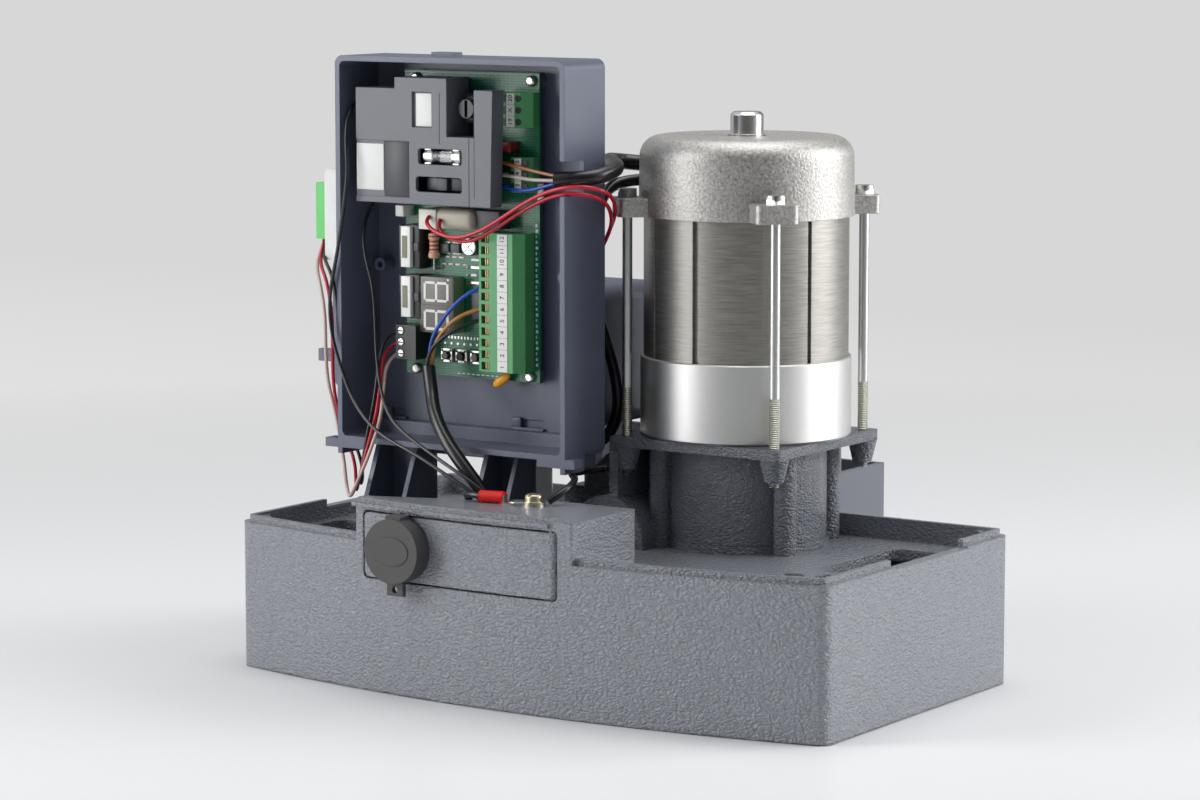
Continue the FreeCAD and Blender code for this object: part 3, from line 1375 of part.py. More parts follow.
def earth_lug():
    z = housing_top
    ring = fuse([post(earth_x, earth_y, z, z + 0.9, 5.0),
                 block(earth_x - 14.0, earth_x, earth_y - 2.6, earth_y + 2.6, z, z + 0.9)])
    ring.rotate(V(earth_x, earth_y, z), V(0, 0, 1), 12.0)
    barrel_part = Part.makeCylinder(2.6, 11.0, V(earth_x - 25.0, earth_y, z + 2.7), V(1, 0, 0))
    neck = block(earth_x - 15.0, earth_x - 13.0, earth_y - 2.0, earth_y + 2.0, z, z + 4.0)
    sleeve = fuse([barrel_part, neck])
    sleeve.rotate(V(earth_x, earth_y, z), V(0, 0, 1), 12.0)
    return fuse([ring, sleeve]).cut(post(earth_x, earth_y, z - 1, z + 2, 2.6))


def earth_screw():
    z = housing_top + 0.9
    washer = post(earth_x, earth_y, z, z + 1.0, 4.8)
    head = post(earth_x, earth_y, z + 1.0, z + 4.2, 3.9)
    head = head.makeFillet(1.4, [e for e in head.Edges if e.BoundBox.ZMin > z + 4.1])
    slot = block(earth_x - 0.5, earth_x + 0.5, earth_y - 4, earth_y + 4, z + 3.2, z + 5)
    shank = post(earth_x, earth_y, housing_top, z + 1.2, 2.5)
    return fuse([washer, head.cut(slot), shank])


# Leads: straight runs joined by tangent arcs
def cord(points, radius):
    corners = [V(*point) for point in points]
    edges = []
    radii = []
    start = corners[0]
    for n in range(1, len(corners) - 1):
        back = corners[n - 1] - corners[n]
        ahead = corners[n + 1] - corners[n]
        reach = 0.45 * min(back.Length, ahead.Length)
        turn = math.pi - back.getAngle(ahead)
        bend = reach / math.tan(turn / 2.0)
        radii.append(bend)
        back.normalize()
        ahead.normalize()
        first = corners[n] + back * reach
        last = corners[n] + ahead * reach
        inward = back + ahead
        inward.normalize()
        middle = corners[n] + inward * (bend / math.cos(turn / 2.0) - bend)
        edges.append(Part.LineSegment(start, first).toShape())
        edges.append(Part.Arc(first, middle, last).toShape())
        start = last
    edges.append(Part.LineSegment(start, corners[-1]).toShape())
    path = Part.Wire(edges)
    profile = Part.Wire([Part.Circle(corners[0], corners[1] - corners[0], radius).toShape()])
    solid = path.makePipeShell([profile], True, False)
    length = sum(edge.Length for edge in edges)
    print("lead radius %.1f length %.0f bend %.1f to %.1f volume ratio %.4f" % (
        radius, length, min(radii), max(radii), solid.Volume / (math.pi * radius ** 2 * length)))
    return solid


motor_cable_points = [
    (-1.5, 27.0, 224.0), (-11.5, 25.5, 224.6), (-16.0, 14.0, 226.0), (-6.5, 0.5, 226.4), (7.0, -12.5, 225.2),
    (9.0, -26.0, 222.6), (3.0, -36.5, 221.2), (-8.0, -39.0, 220.6),
]
motor_wire_points = [
    [(-8.0, -38.6, 222.2), (-19.0, -37.6, 223.6), (-29.5, -35.0, 225.0), (-38.0, -33.0, 226.2), (-43.0, -31.2, 226.4),
     (-43.2, -27.8, 226.3), (-39.8, -26.4, 226.2), (-34.6, -26.4, 226.2)],
    [(-8.0, -40.2, 220.4), (-19.5, -39.0, 220.0), (-30.0, -35.6, 220.6), (-38.0, -33.0, 221.0), (-43.0, -31.2, 221.2),
     (-43.2, -27.8, 221.2), (-39.8, -26.4, 221.2), (-34.6, -26.4, 221.2)],
    [(-8.0, -38.0, 219.2), (-18.0, -37.4, 216.4), (-28.5, -35.4, 214.6), (-38.0, -33.0, 215.6), (-43.0, -31.2, 216.2),
     (-43.2, -27.8, 216.1), (-39.8, -26.4, 216.1), (-34.6, -26.4, 216.1)],
]
red_wire_points = [
    [(-77.5, -36.0, 201.5), (-77.0, -40.4, 199.8), (-70.0, -43.0, 195.6), (-58.0, -43.2, 193.0), (-45.0, -42.6, 197.0),
     (-32.0, -42.2, 204.6), (-17.5, -42.8, 212.8), (-3.5, -43.4, 217.6), (8.0, -41.6, 218.6), (14.5, -33.0, 216.2),
     (11.6, -22.6, 211.0), (5.0, -12.0, 204.6), (-4.0, -4.5, 195.0), (-13.0, 0.5, 184.0), (-21.5, 2.8, 176.0),
     (-24.0, 3.4, 169.0)],
    [(-71.5, -36.0, 200.5), (-71.0, -39.2, 197.2), (-64.0, -40.6, 192.8), (-53.5, -40.4, 191.4), (-42.0, -40.0, 196.6),
     (-30.0, -39.8, 203.8), (-16.0, -40.8, 211.0), (-3.0, -41.6, 215.2), (7.6, -38.2, 215.0), (10.8, -29.6, 211.8),
     (7.8, -20.0, 206.6), (2.0, -10.4, 199.6), (-7.0, -3.6, 190.0), (-16.0, -0.6, 180.0), (-22.5, -1.0, 174.2),
     (-24.0, -1.4, 169.0)],
]
capacitor_cable_points = [
    [(1.6, 15.9, 218.0), (-5.2, 13.0, 217.6), (-10.0, 5.5, 215.0), (-9.0, -4.0, 208.5), (-7.0, -9.4, 198.0),
     (-6.6, -10.0, 184.0), (-9.5, -6.5, 171.0), (-12.6, 0.5, 158.0), (-13.0, 8.5, 145.0), (-12.6, 14.5, 131.0),
     (-12.0, 16.5, 116.5), (-16.0, 16.0, 103.5), (-26.0, 14.5, 97.5), (-39.0, 13.5, 99.0), (-50.5, 14.0, 100.4),
     (-58.5, 15.0, 97.5), (-60.5, 15.4, 90.5)],
]
mains_cable_points = [
    (-77.0, -38.0, 135.0), (-73.0, -41.5, 125.0), (-66.0, -48.5, 115.5), (-57.0, -53.0, 106.0), (-47.4, -54.8, 97.0),
    (-38.5, -54.6, 87.5), (-31.5, -52.5, 77.0), (-27.5, -49.4, 66.0), (-26.2, -47.5, 54.5), (-26.0, -47.0, 43.0),
]
mains_wire_points = [
    [(-77.8, -37.0, 134.9), (-78.0, -35.8, 145.0), (-72.5, -36.0, 154.5), (-65.0, -35.4, 163.0), (-57.8, -32.2, 169.6),
     (-50.6, -29.2, 172.6)],
    [(-76.0, -37.4, 134.9), (-75.4, -37.0, 143.0), (-70.5, -37.0, 151.0), (-63.6, -35.6, 157.4), (-56.8, -31.8, 161.0),
     (-50.6, -29.2, 162.5)],
    [(-77.2, -39.4, 134.9), (-76.0, -39.6, 141.5), (-70.6, -39.2, 147.4), (-63.6, -36.6, 152.4), (-56.6, -31.8, 156.2),
     (-50.6, -29.2, 157.4)],
]
sensor_wire_points = [
    [(-106.0, -24.4, 251.0), (-113.4, -25.4, 253.4), (-117.8, -32.6, 252.4), (-118.0, -41.4, 246.8),
     (-115.4, -46.8, 235.0), (-113.6, -47.6, 221.0), (-116.6, -47.4, 203.0), (-120.4, -47.0, 184.0), (-125.2, -47.0, 165.5),
     (-124.0, -47.4, 148.0), (-117.6, -48.6, 133.0), (-109.8, -51.0, 120.0), (-98.0, -54.0, 109.6),
     (-85.2, -57.2, 104.4), (-69.5, -58.6, 99.4), (-53.0, -59.6, 92.2), (-38.0, -59.4, 85.4), (-27.5, -57.0, 75.6),
     (-21.6, -51.4, 66.0), (-20.4, -48.0, 55.0), (-20.6, -47.4, 44.0)],
    [(-105.5, -24.2, 214.0), (-113.6, -24.6, 209.6), (-116.0, -30.0, 202.0), (-114.2, -36.4, 193.0),
     (-110.4, -39.8, 182.4),
     (-105.6, -40.6, 170.5), (-104.2, -40.8, 155.6), (-102.4, -42.6, 138.6), (-96.4, -47.8, 124.6),
     (-88.0, -52.4, 113.0), (-76.5, -55.2, 106.6), (-63.0, -57.4, 100.6), (-50.0, -59.8, 95.4), (-36.5, -59.6, 89.0),
     (-26.0, -56.6, 79.6), (-20.4, -50.2, 69.0), (-19.8, -45.6, 56.5), (-20.4, -44.8, 45.0)],
]
receiver_wire_points = [
    [(-96.0, -28.6, 149.8), (-101.6, -29.6, 149.4), (-105.0, -34.4, 144.0), (-102.4, -41.4, 133.4),
     (-100.4, -47.0, 119.0), (-102.0, -50.6, 103.6), (-104.6, -51.0, 89.0), (-109.0, -46.4, 80.6),
     (-114.4, -37.4, 82.0), (-120.4, -30.6, 89.4), (-127.0, -29.0, 99.0), (-129.6, -31.4, 110.6),
     (-130.0, -34.0, 124.6), (-129.6, -34.6, 141.0), (-130.4, -34.0, 158.6), (-133.6, -33.6, 172.0),
     (-140.0, -31.4, 179.6), (-143.2, -26.6, 182.0), (-143.6, -24.0, 188.0)],
    [(-96.0, -28.6, 144.8), (-101.2, -29.8, 144.2), (-104.0, -35.0, 138.6), (-100.8, -41.8, 128.6),
     (-98.2, -47.8, 115.0), (-99.6, -52.8, 100.0), (-103.6, -54.0, 86.0), (-109.4, -48.8, 77.8),
     (-116.6, -39.6, 80.0), (-123.4, -31.4, 88.4), (-129.0, -30.4, 98.4), (-131.6, -33.0, 110.4),
     (-132.4, -35.6, 124.6), (-132.0, -36.0, 141.4), (-132.6, -35.6, 156.8), (-136.2, -34.4, 169.6),
     (-142.4, -31.0, 176.6), (-145.4, -26.4, 181.4), (-145.6, -23.8, 188.0)],
    [(-96.0, -28.6, 139.8), (-100.8, -30.0, 139.2), (-102.6, -35.4, 133.6), (-98.6, -42.6, 124.0),
     (-95.6, -49.0, 110.8), (-97.6, -54.8, 96.4), (-102.8, -57.0, 83.4), (-110.4, -52.0, 75.2), (-119.6, -42.6, 78.0),
     (-127.0, -34.6, 87.6), (-131.6, -31.6, 98.8), (-134.0, -32.4, 112.0), (-134.8, -36.6, 125.6),
     (-134.6, -37.8, 140.0), (-135.2, -37.2, 155.0), (-138.8, -35.6, 167.4), (-144.6, -31.0, 174.4),
     (-147.2, -26.0, 180.6), (-146.2, -21.8, 188.0)],
]
earth_wire_points = [
    [(3.6, -61.8, 84.9), (6.6, -59.0, 87.6), (8.6, -52.0, 91.0), (5.0, -43.0, 92.8), (-2.0, -35.5, 92.6),
     (-8.4, -26.5, 91.8), (-9.4, -15.5, 91.4), (-6.0, -7.4, 91.8), (-3.2, -4.8, 92.0), (0.2, -4.6, 92.0)],
    [(-27.9, -68.3, 85.7), (-33.5, -68.6, 86.2), (-38.2, -63.6, 84.0), (-36.4, -57.0, 76.2), (-33.0, -50.0, 68.0),
     (-31.6, -46.8, 57.0), (-31.4, -46.6, 46.0)],
]


def leads(point_lists, radius):
    return group([cord(points, radius) for points in point_lists])


def on_board(shape):
    # the board's details are drawn for its top at board_drawn_top, and move with the box
    return shape.translated(V(0, 0, board_lift))


def save(name, shape):
    if shape.ShapeType == "Compound" and len(shape.Solids) == 1:
        shape = shape.Solids[0]
    shape.exportStep(os.path.join("parts", name + ".step"))


def main():
    os.makedirs("parts", exist_ok=True)
    save("base_casting", base_casting())
    save("gear_case", gear_case())
    save("gear_housing", gear_housing())
    save("case_screws", case_screws())
    save("shaft_bearings", shaft_bearings())
    save("output_bearings", output_bearings())
    save("oil_seals", oil_seals())
    save("worm_shaft", worm_shaft())
    save("rotor_core", rotor_core())
    save("worm_wheel", worm_wheel())
    save("output_shaft", output_shaft())
    save("clutch_sleeve", clutch_sleeve())
    save("clutch_pin", clutch_pin())
    save("push_rod", push_rod())
    save("clutch_spring", clutch_spring())
    save("drive_pinion", drive_pinion())
    save("pinion_fixings", pinion_fixings())
    save("pinion_guard", pinion_guard())
    save("motor_ring", motor_ring())
    save("stator_stack", stator_stack())
    save("stator_windings", stator_windings())
    save("end_cap", end_cap())
    save("tie_rods", tie_rods())
    save("release_door", release_door())
    save("hinge_pin", hinge_pin())
    save("release_slider", release_slider())
    save("lock_body", lock_body())
    save("lock_plug", lock_plug())
    save("key_cap", key_cap())
    save("control_box", control_box())
    save("box_stand", box_stand())
    save("fixing_screws", group(stand_screws() + guard_screws()))
    save("rear_housing", rear_housing())
    save("transformer", transformer())
    save("run_capacitor", run_capacitor())
    save("circuit_board", circuit_board())
    save("board_screws", board_screws())
    save("screw_terminals", on_board(group(terminal_blocks() + [sensor_block()])))
    save("board_cover", on_board(fuse([board_cover()] + cover_feet())))
    save("glass_fuse", on_board(glass_fuse()))
    save("force_knob", on_board(force_knob()))
    save("number_display", on_board(number_display()))
    save("board_components", on_board(group([relay(), fuse_holder(), force_trimmer()] + plug_sockets()
                                            + small_components() + button_cases())))
    for n, (x, z) in enumerate(button_places):
        save("push_button_%d" % (n + 1), on_board(push_button(x, z)))
    save("receiver", group([receiver(), receiver_terminal()]))
    save("side_bracket", side_bracket())
    save("earth_lug", earth_lug())
    save("earth_screw", earth_screw())
    save("motor_cable", leads([motor_cable_points], 3.5))
    save("motor_wires", leads(motor_wire_points, 0.8))
    save("red_wires", leads(red_wire_points, 0.9))
    save("capacitor_cable", leads(capacitor_cable_points, 2.6))
    save("mains_cable", leads([mains_cable_points], 3.0))
    save("mains_wires", leads(mains_wire_points, 0.9))
    save("sensor_wires", leads(sensor_wire_points, 0.8))
    save("receiver_wires", leads(receiver_wire_points, 0.8))
    save("earth_wires", leads(earth_wire_points, 1.5))


main()
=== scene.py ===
import math
import bmesh
import bpy
from mathutils import Matrix, Vector


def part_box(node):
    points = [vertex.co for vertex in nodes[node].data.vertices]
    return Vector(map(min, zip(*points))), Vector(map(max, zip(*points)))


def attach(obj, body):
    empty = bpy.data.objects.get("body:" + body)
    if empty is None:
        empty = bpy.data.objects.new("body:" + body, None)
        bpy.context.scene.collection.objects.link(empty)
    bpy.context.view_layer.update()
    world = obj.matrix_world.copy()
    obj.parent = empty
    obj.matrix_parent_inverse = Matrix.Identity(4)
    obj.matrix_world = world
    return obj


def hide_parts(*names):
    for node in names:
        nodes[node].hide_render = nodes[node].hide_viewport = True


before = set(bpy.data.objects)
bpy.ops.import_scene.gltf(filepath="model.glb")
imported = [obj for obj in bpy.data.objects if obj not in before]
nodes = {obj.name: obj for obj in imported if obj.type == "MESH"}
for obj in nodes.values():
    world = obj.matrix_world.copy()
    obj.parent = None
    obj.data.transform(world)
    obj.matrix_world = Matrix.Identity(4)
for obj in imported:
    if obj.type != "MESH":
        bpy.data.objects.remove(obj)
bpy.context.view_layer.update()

scene = bpy.context.scene
MM = 0.001


# The studio: a pale seamless floor and backdrop, one large lamp overhead and two soft ones
# at the sides, and the camera at the photograph's viewing angle.
def fresh_material(name, roughness):
    material = bpy.data.materials.new(name)
    material.use_nodes = True
    shader = material.node_tree.nodes["Principled BSDF"]
    shader.inputs["Roughness"].default_value = roughness
    return material, material.node_tree, shader


def add_node(tree, kind, values=(), **settings):
    # settings choose what the node does, and values fill its inputs
    node = tree.nodes.new("ShaderNode" + kind)
    for setting, choice in settings.items():
        setattr(node, setting, choice)
    for socket, value in dict(values).items():
        node.inputs[socket].default_value = value
    return node


def join(tree, *ways):
    # each way runs from an output of one node to an input of another
    for source, output, target, entry in ways:
        tree.links.new(source.outputs[output], target.inputs[entry])


def floor_finish():
    # near the part the floor is lit and takes its shadow, and further off it shows the camera painted light:
    # a glow, paler at the front and darker toward the back
    material, tree, shader = fresh_material("studio floor", 0.30)
    shader.inputs["Base Color"].default_value = (0.84, 0.85, 0.85, 1.0)
    place = add_node(tree, "TexCoord")
    reach = add_node(tree, "VectorMath", operation="LENGTH")
    far = add_node(tree, "MapRange", {"From Min": 0.30, "From Max": 1.10})
    parts = add_node(tree, "SeparateXYZ")
    tone = add_node(tree, "MapRange", {"From Min": -0.4, "From Max": 1.4, "To Min": 0.84, "To Max": 0.68})
    painted_floor_glow = add_node(tree, "Emission")
    seen = add_node(tree, "LightPath")
    share = add_node(tree, "Math", operation="MULTIPLY")
    mix = add_node(tree, "MixShader")
    join(tree,
         (place, "Object", reach, 0),
         (reach, "Value", far, "Value"),
         (place, "Object", parts, 0),
         (parts, "Y", tone, "Value"),
         (tone, "Result", painted_floor_glow, "Color"),
         (seen, "Is Camera Ray", share, 0),
         (far, "Result", share, 1),
         (share, 0, mix, 0),
         (shader, 0, mix, 1),
         (painted_floor_glow, 0, mix, 2),
         (mix, 0, tree.nodes["Material Output"], "Surface"))
    return material


floor_half_width = 5.0
floor_front = -3.0
floor_back = 2.2
floor_sink = 0.0004
sweep_radius = 1.2
sweep_turn = math.radians(80)
wall_rise = (0, 0.5, 2.5)
floor_mesh = bmesh.new()
floor_mesh.faces.new([floor_mesh.verts.new((x, y, 0.0)) for x, y in (
    (-floor_half_width, floor_front), (floor_half_width, floor_front),
    (floor_half_width, floor_back), (-floor_half_width, floor_back))])
back_edges = [e for e in floor_mesh.edges if all(abs(v.co.y - floor_back) < 1e-6 for v in e.verts)]
bmesh.ops.spin(floor_mesh, geom=back_edges, cent=(0, floor_back, sweep_radius), axis=(1, 0, 0),
               angle=sweep_turn, steps=16)
top_edges = [e for e in floor_mesh.edges if e.is_boundary and all(v.co.z > 0.9 for v in e.verts)]
raised = bmesh.ops.extrude_edge_only(floor_mesh, edges=top_edges)
raised_verts = [item for item in raised["geom"] if isinstance(item, bmesh.types.BMVert)]
bmesh.ops.translate(floor_mesh, verts=raised_verts, vec=wall_rise)
bmesh.ops.recalc_face_normals(floor_mesh, faces=floor_mesh.faces)
floor_data = bpy.data.meshes.new("studio_floor")
floor_mesh.to_mesh(floor_data)
floor_mesh.free()
floor_data.shade_smooth()
floor_data.materials.append(floor_finish())
studio_floor = bpy.data.objects.new("studio_floor", floor_data)
studio_floor.location.z = -floor_sink
scene.collection.objects.link(studio_floor)

world = bpy.data.worlds.new("studio air")
world.use_nodes = True
sky = world.node_tree
air = sky.nodes["Background"]
air.inputs["Color"].default_value = (0.93, 0.95, 1.0, 1.0)
air.inputs["Strength"].default_value = 0.27
backdrop = add_node(sky, "Background", {"Strength": 1.0})
way = add_node(sky, "TexCoord")
facing = add_node(sky, "VectorMath", {1: (0.55, -0.83, 0.06)}, operation="DOT_PRODUCT")
front_dark = add_node(sky, "MapRange", {"From Min": 0.25, "From Max": 0.95, "To Min": 0.72, "To Max": 0.05},
                      interpolation_type="SMOOTHSTEP")
light_path = add_node(sky, "LightPath")
seen_or_glossy = add_node(sky, "Math", operation="MAXIMUM")
shows_backdrop = add_node(sky, "Math", operation="MAXIMUM")
air_mix = add_node(sky, "MixShader")
join(sky,
     (way, "Generated", facing, 0),
     (facing, "Value", front_dark, "Value"),
     (front_dark, "Result", backdrop, "Color"),
     (light_path, "Is Camera Ray", seen_or_glossy, 0),
     (light_path, "Is Glossy Ray", seen_or_glossy, 1),
     (seen_or_glossy, 0, shows_backdrop, 0),
     (light_path, "Is Transmission Ray", shows_backdrop, 1),
     (shows_backdrop, 0, air_mix, 0),
     (air, 0, air_mix, 1),
     (backdrop, 0, air_mix, 2),
     (air_mix, 0, sky.nodes["World Output"], "Surface"))
scene.world = world
scene.view_settings.view_transform = "Standard"


def soft_lamp(name, place, target, size, power):
    data = bpy.data.lights.new(name, "AREA")
    data.shape = "RECTANGLE"
    data.size, data.size_y = size
    data.energy = power
    lamp = bpy.data.objects.new(name, data)
    lamp.location = place
    lamp.rotation_euler = (Vector(target) - Vector(place)).to_track_quat("-Z", "Y").to_euler()
    scene.collection.objects.link(lamp)


soft_lamp("overhead softbox", (0.1, 0.15, 1.55), (0.0, 0.0, 0.1), (1.2, 1.0), 13.0)
soft_lamp("left softbox", (-0.74, -0.80, 0.48), (0.0, 0.0, 0.10), (0.55, 0.9), 8.6)
soft_lamp("right softbox", (1.25, 0.85, 0.62), (0.0, 0.0, 0.10), (1.0, 1.1), 22.0)

camera_data = bpy.data.cameras.new("photo camera")
camera_data.lens = 114.35
camera_data.sensor_width = 36.0
camera_data.clip_start = 0.05
camera_data.clip_end = 20.0
camera = bpy.data.objects.new("photo camera", camera_data)
camera_place = Vector((0.9174, -1.3842, 0.3364))
camera_target = Vector((-0.01128, 0.0, 0.12109))
camera.location = camera_place
camera.rotation_euler = (camera_target - camera_place).to_track_quat("-Z", "Y").to_euler()
scene.collection.objects.link(camera)
scene.camera = camera


# The leads: supply, motor and signal wires with soft plastic insulation, each a length of
# round flexible cord laid from terminal to terminal.
def colour_mix(tree, low, high):
    return add_node(tree, "Mix", {6: (*low, 1.0), 7: (*high, 1.0)}, data_type="RGBA")


def insulation(name, colour):
    material, tree, shader = fresh_material(name, 0.27)
    place = add_node(tree, "TexCoord")
    waves = add_node(tree, "TexNoise", {"Scale": 160.0, "Detail": 3.0})
    tone = colour_mix(tree, [c * 0.82 for c in colour], colour)
    bump = add_node(tree, "Bump", {"Strength": 0.18, "Distance": 0.0003})
    join(tree,
         (place, "Object", waves, "Vector"),
         (waves, "Fac", tone, 0),
         (tone, 2, shader, "Base Color"),
         (waves, "Fac", bump, "Height"),
         (bump, "Normal", shader, "Normal"))
    return material


black_insulation = insulation("black insulation", (0.012, 0.012, 0.014))
red_insulation = insulation("red insulation", (0.52, 0.008, 0.03))
blue_insulation = insulation("blue insulation", (0.008, 0.07, 0.42))
brown_insulation = insulation("brown insulation", (0.30, 0.11, 0.03))
grey_insulation = insulation("grey insulation", (0.42, 0.38, 0.34))
cream_insulation = insulation("cream insulation", (0.62, 0.48, 0.42))
orange_insulation = insulation("orange insulation", (0.45, 0.20, 0.04))


def lay_lead(name, node, points, radius, material):
    # points, radius and length are in millimetres
    curve = bpy.data.curves.new(name, "CURVE")
    curve.dimensions = "3D"
    curve.bevel_depth = radius * MM
    curve.bevel_resolution = 5
    curve.use_fill_caps = True
    curve.resolution_u = 10
    line = curve.splines.new("NURBS")
    line.points.add(len(points) - 1)
    for point, place in zip(line.points, points):
        point.co = (place[0] * MM, place[1] * MM, place[2] * MM, 1.0)
    line.order_u = 3
    line.use_endpoint_u = True
    curve.materials.append(material)
    lead = bpy.data.objects.new(name, curve)
    scene.collection.objects.link(lead)
    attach(lead, "frame")
    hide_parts(node)


lay_lead("motor_cord", "motor_cable", [
    (-1.5, 27, 224), (-11.5, 25.5, 224.6), (-16, 14, 226), (-6.5, 0.5, 226.4), (7, -12.5, 225.2),
    (9, -26, 222.6), (3, -36.5, 221.2), (-8, -39, 220.6),
], 3.5, black_insulation)
lay_lead("motor_wire_1", "motor_wires", [
    (-8, -38.6, 222.2), (-19, -37.6, 223.6), (-29.5, -35, 225), (-38, -33, 226.2), (-43, -31.2, 226.4),
    (-43.2, -27.8, 226.3), (-39.8, -26.4, 226.2), (-34.6, -26.4, 226.2),
], 0.8, brown_insulation)
lay_lead("motor_wire_2", "motor_wires", [
    (-8, -40.2, 220.4), (-19.5, -39, 220), (-30, -35.6, 220.6), (-38, -33, 221), (-43, -31.2, 221.2),
    (-43.2, -27.8, 221.2), (-39.8, -26.4, 221.2), (-34.6, -26.4, 221.2),
], 0.8, grey_insulation)
lay_lead("motor_wire_3", "motor_wires", [
    (-8, -38, 219.2), (-18, -37.4, 216.4), (-28.5, -35.4, 214.6), (-38, -33, 215.6),
    (-43, -31.2, 216.2), (-43.2, -27.8, 216.1), (-39.8, -26.4, 216.1), (-34.6, -26.4, 216.1),
], 0.8, blue_insulation)
lay_lead("red_wire_1", "red_wires", [
    (-77.5, -36, 201.5), (-77, -40.4, 199.8), (-70, -43, 195.6), (-58, -43.2, 193), (-45, -42.6, 197),
    (-32, -42.2, 204.6), (-17.5, -42.8, 212.8), (-3.5, -43.4, 217.6), (8, -41.6, 218.6),
    (14.5, -33, 216.2), (11.6, -22.6, 211), (5, -12, 204.6), (-4, -4.5, 195), (-13, 0.5, 184),
    (-21.5, 2.8, 176), (-24, 3.4, 169),
], 0.9, red_insulation)
lay_lead("red_wire_2", "red_wires", [
    (-71.5, -36, 200.5), (-71, -39.2, 197.2), (-64, -40.6, 192.8), (-53.5, -40.4, 191.4),
    (-42, -40, 196.6), (-30, -39.8, 203.8), (-16, -40.8, 211), (-3, -41.6, 215.2), (7.6, -38.2, 215),
    (10.8, -29.6, 211.8), (7.8, -20, 206.6), (2, -10.4, 199.6), (-7, -3.6, 190), (-16, -0.6, 180),
    (-22.5, -1, 174.2), (-24, -1.4, 169),
], 0.9, red_insulation)
lay_lead("capacitor_cord", "capacitor_cable", [
    (1.6, 15.9, 218), (-5.2, 13, 217.6), (-10, 5.5, 215), (-9, -4, 208.5), (-7, -9.4, 198),
    (-6.6, -10, 184), (-9.5, -6.5, 171), (-12.6, 0.5, 158), (-13, 8.5, 145), (-12.6, 14.5, 131),
    (-12, 16.5, 116.5), (-16, 16, 103.5), (-26, 14.5, 97.5), (-39, 13.5, 99), (-50.5, 14, 100.4),
    (-58.5, 15, 97.5), (-60.5, 15.4, 90.5),
], 2.6, black_insulation)
lay_lead("mains_cord", "mains_cable", [
    (-77, -38, 135), (-73, -41.5, 125), (-66, -48.5, 115.5), (-57, -53, 106), (-47.4, -54.8, 97),
    (-38.5, -54.6, 87.5), (-31.5, -52.5, 77), (-27.5, -49.4, 66), (-26.2, -47.5, 54.5), (-26, -47, 43),
], 3, black_insulation)
lay_lead("mains_wire_1", "mains_wires", [
    (-77.8, -37, 134.9), (-78, -35.8, 145), (-72.5, -36, 154.5), (-65, -35.4, 163),
    (-57.8, -32.2, 169.6), (-50.6, -29.2, 172.6),
], 0.9, blue_insulation)
lay_lead("mains_wire_2", "mains_wires", [
    (-76, -37.4, 134.9), (-75.4, -37, 143), (-70.5, -37, 151), (-63.6, -35.6, 157.4),
    (-56.8, -31.8, 161), (-50.6, -29.2, 162.5),
], 0.9, orange_insulation)
lay_lead("mains_wire_3", "mains_wires", [
    (-77.2, -39.4, 134.9), (-76, -39.6, 141.5), (-70.6, -39.2, 147.4), (-63.6, -36.6, 152.4),
    (-56.6, -31.8, 156.2), (-50.6, -29.2, 157.4),
], 0.9, black_insulation)
lay_lead("sensor_wire_1", "sensor_wires", [
    (-106, -24.4, 251), (-113.4, -25.4, 253.4), (-117.8, -32.6, 252.4), (-118, -41.4, 246.8),
    (-115.4, -46.8, 235), (-113.6, -47.6, 221), (-116.6, -47.4, 203), (-120.4, -47, 184),
    (-125.2, -47, 165.5), (-124, -47.4, 148), (-117.6, -48.6, 133), (-109.8, -51, 120),
    (-98, -54, 109.6), (-85.2, -57.2, 104.4), (-69.5, -58.6, 99.4), (-53, -59.6, 92.2),
    (-38, -59.4, 85.4), (-27.5, -57, 75.6), (-21.6, -51.4, 66), (-20.4, -48, 55), (-20.6, -47.4, 44),
], 0.8, black_insulation)
lay_lead("sensor_wire_2", "sensor_wires", [
    (-105.5, -24.2, 214), (-113.6, -24.6, 209.6), (-116, -30, 202), (-114.2, -36.4, 193),
    (-110.4, -39.8, 182.4), (-105.6, -40.6, 170.5), (-104.2, -40.8, 155.6), (-102.4, -42.6, 138.6),
    (-96.4, -47.8, 124.6), (-88, -52.4, 113), (-76.5, -55.2, 106.6), (-63, -57.4, 100.6),
    (-50, -59.8, 95.4), (-36.5, -59.6, 89), (-26, -56.6, 79.6), (-20.4, -50.2, 69),
    (-19.8, -45.6, 56.5), (-20.4, -44.8, 45),
], 0.8, black_insulation)
lay_lead("receiver_wire_1", "receiver_wires", [
    (-96, -28.6, 149.8), (-101.6, -29.6, 149.4), (-105, -34.4, 144), (-102.4, -41.4, 133.4),
    (-100.4, -47, 119), (-102, -50.6, 103.6), (-104.6, -51, 89), (-109, -46.4, 80.6),
    (-114.4, -37.4, 82), (-120.4, -30.6, 89.4), (-127, -29, 99), (-129.6, -31.4, 110.6),
    (-130, -34, 124.6), (-129.6, -34.6, 141), (-130.4, -34, 158.6), (-133.6, -33.6, 172),
    (-140, -31.4, 179.6), (-143.2, -26.6, 182), (-143.6, -24, 188),
], 0.8, black_insulation)
lay_lead("receiver_wire_2", "receiver_wires", [
    (-96, -28.6, 144.8), (-101.2, -29.8, 144.2), (-104, -35, 138.6), (-100.8, -41.8, 128.6),
    (-98.2, -47.8, 115), (-99.6, -52.8, 100), (-103.6, -54, 86), (-109.4, -48.8, 77.8),
    (-116.6, -39.6, 80), (-123.4, -31.4, 88.4), (-129, -30.4, 98.4), (-131.6, -33, 110.4),
    (-132.4, -35.6, 124.6), (-132, -36, 141.4), (-132.6, -35.6, 156.8), (-136.2, -34.4, 169.6),
    (-142.4, -31, 176.6), (-145.4, -26.4, 181.4), (-145.6, -23.8, 188),
], 0.8, red_insulation)
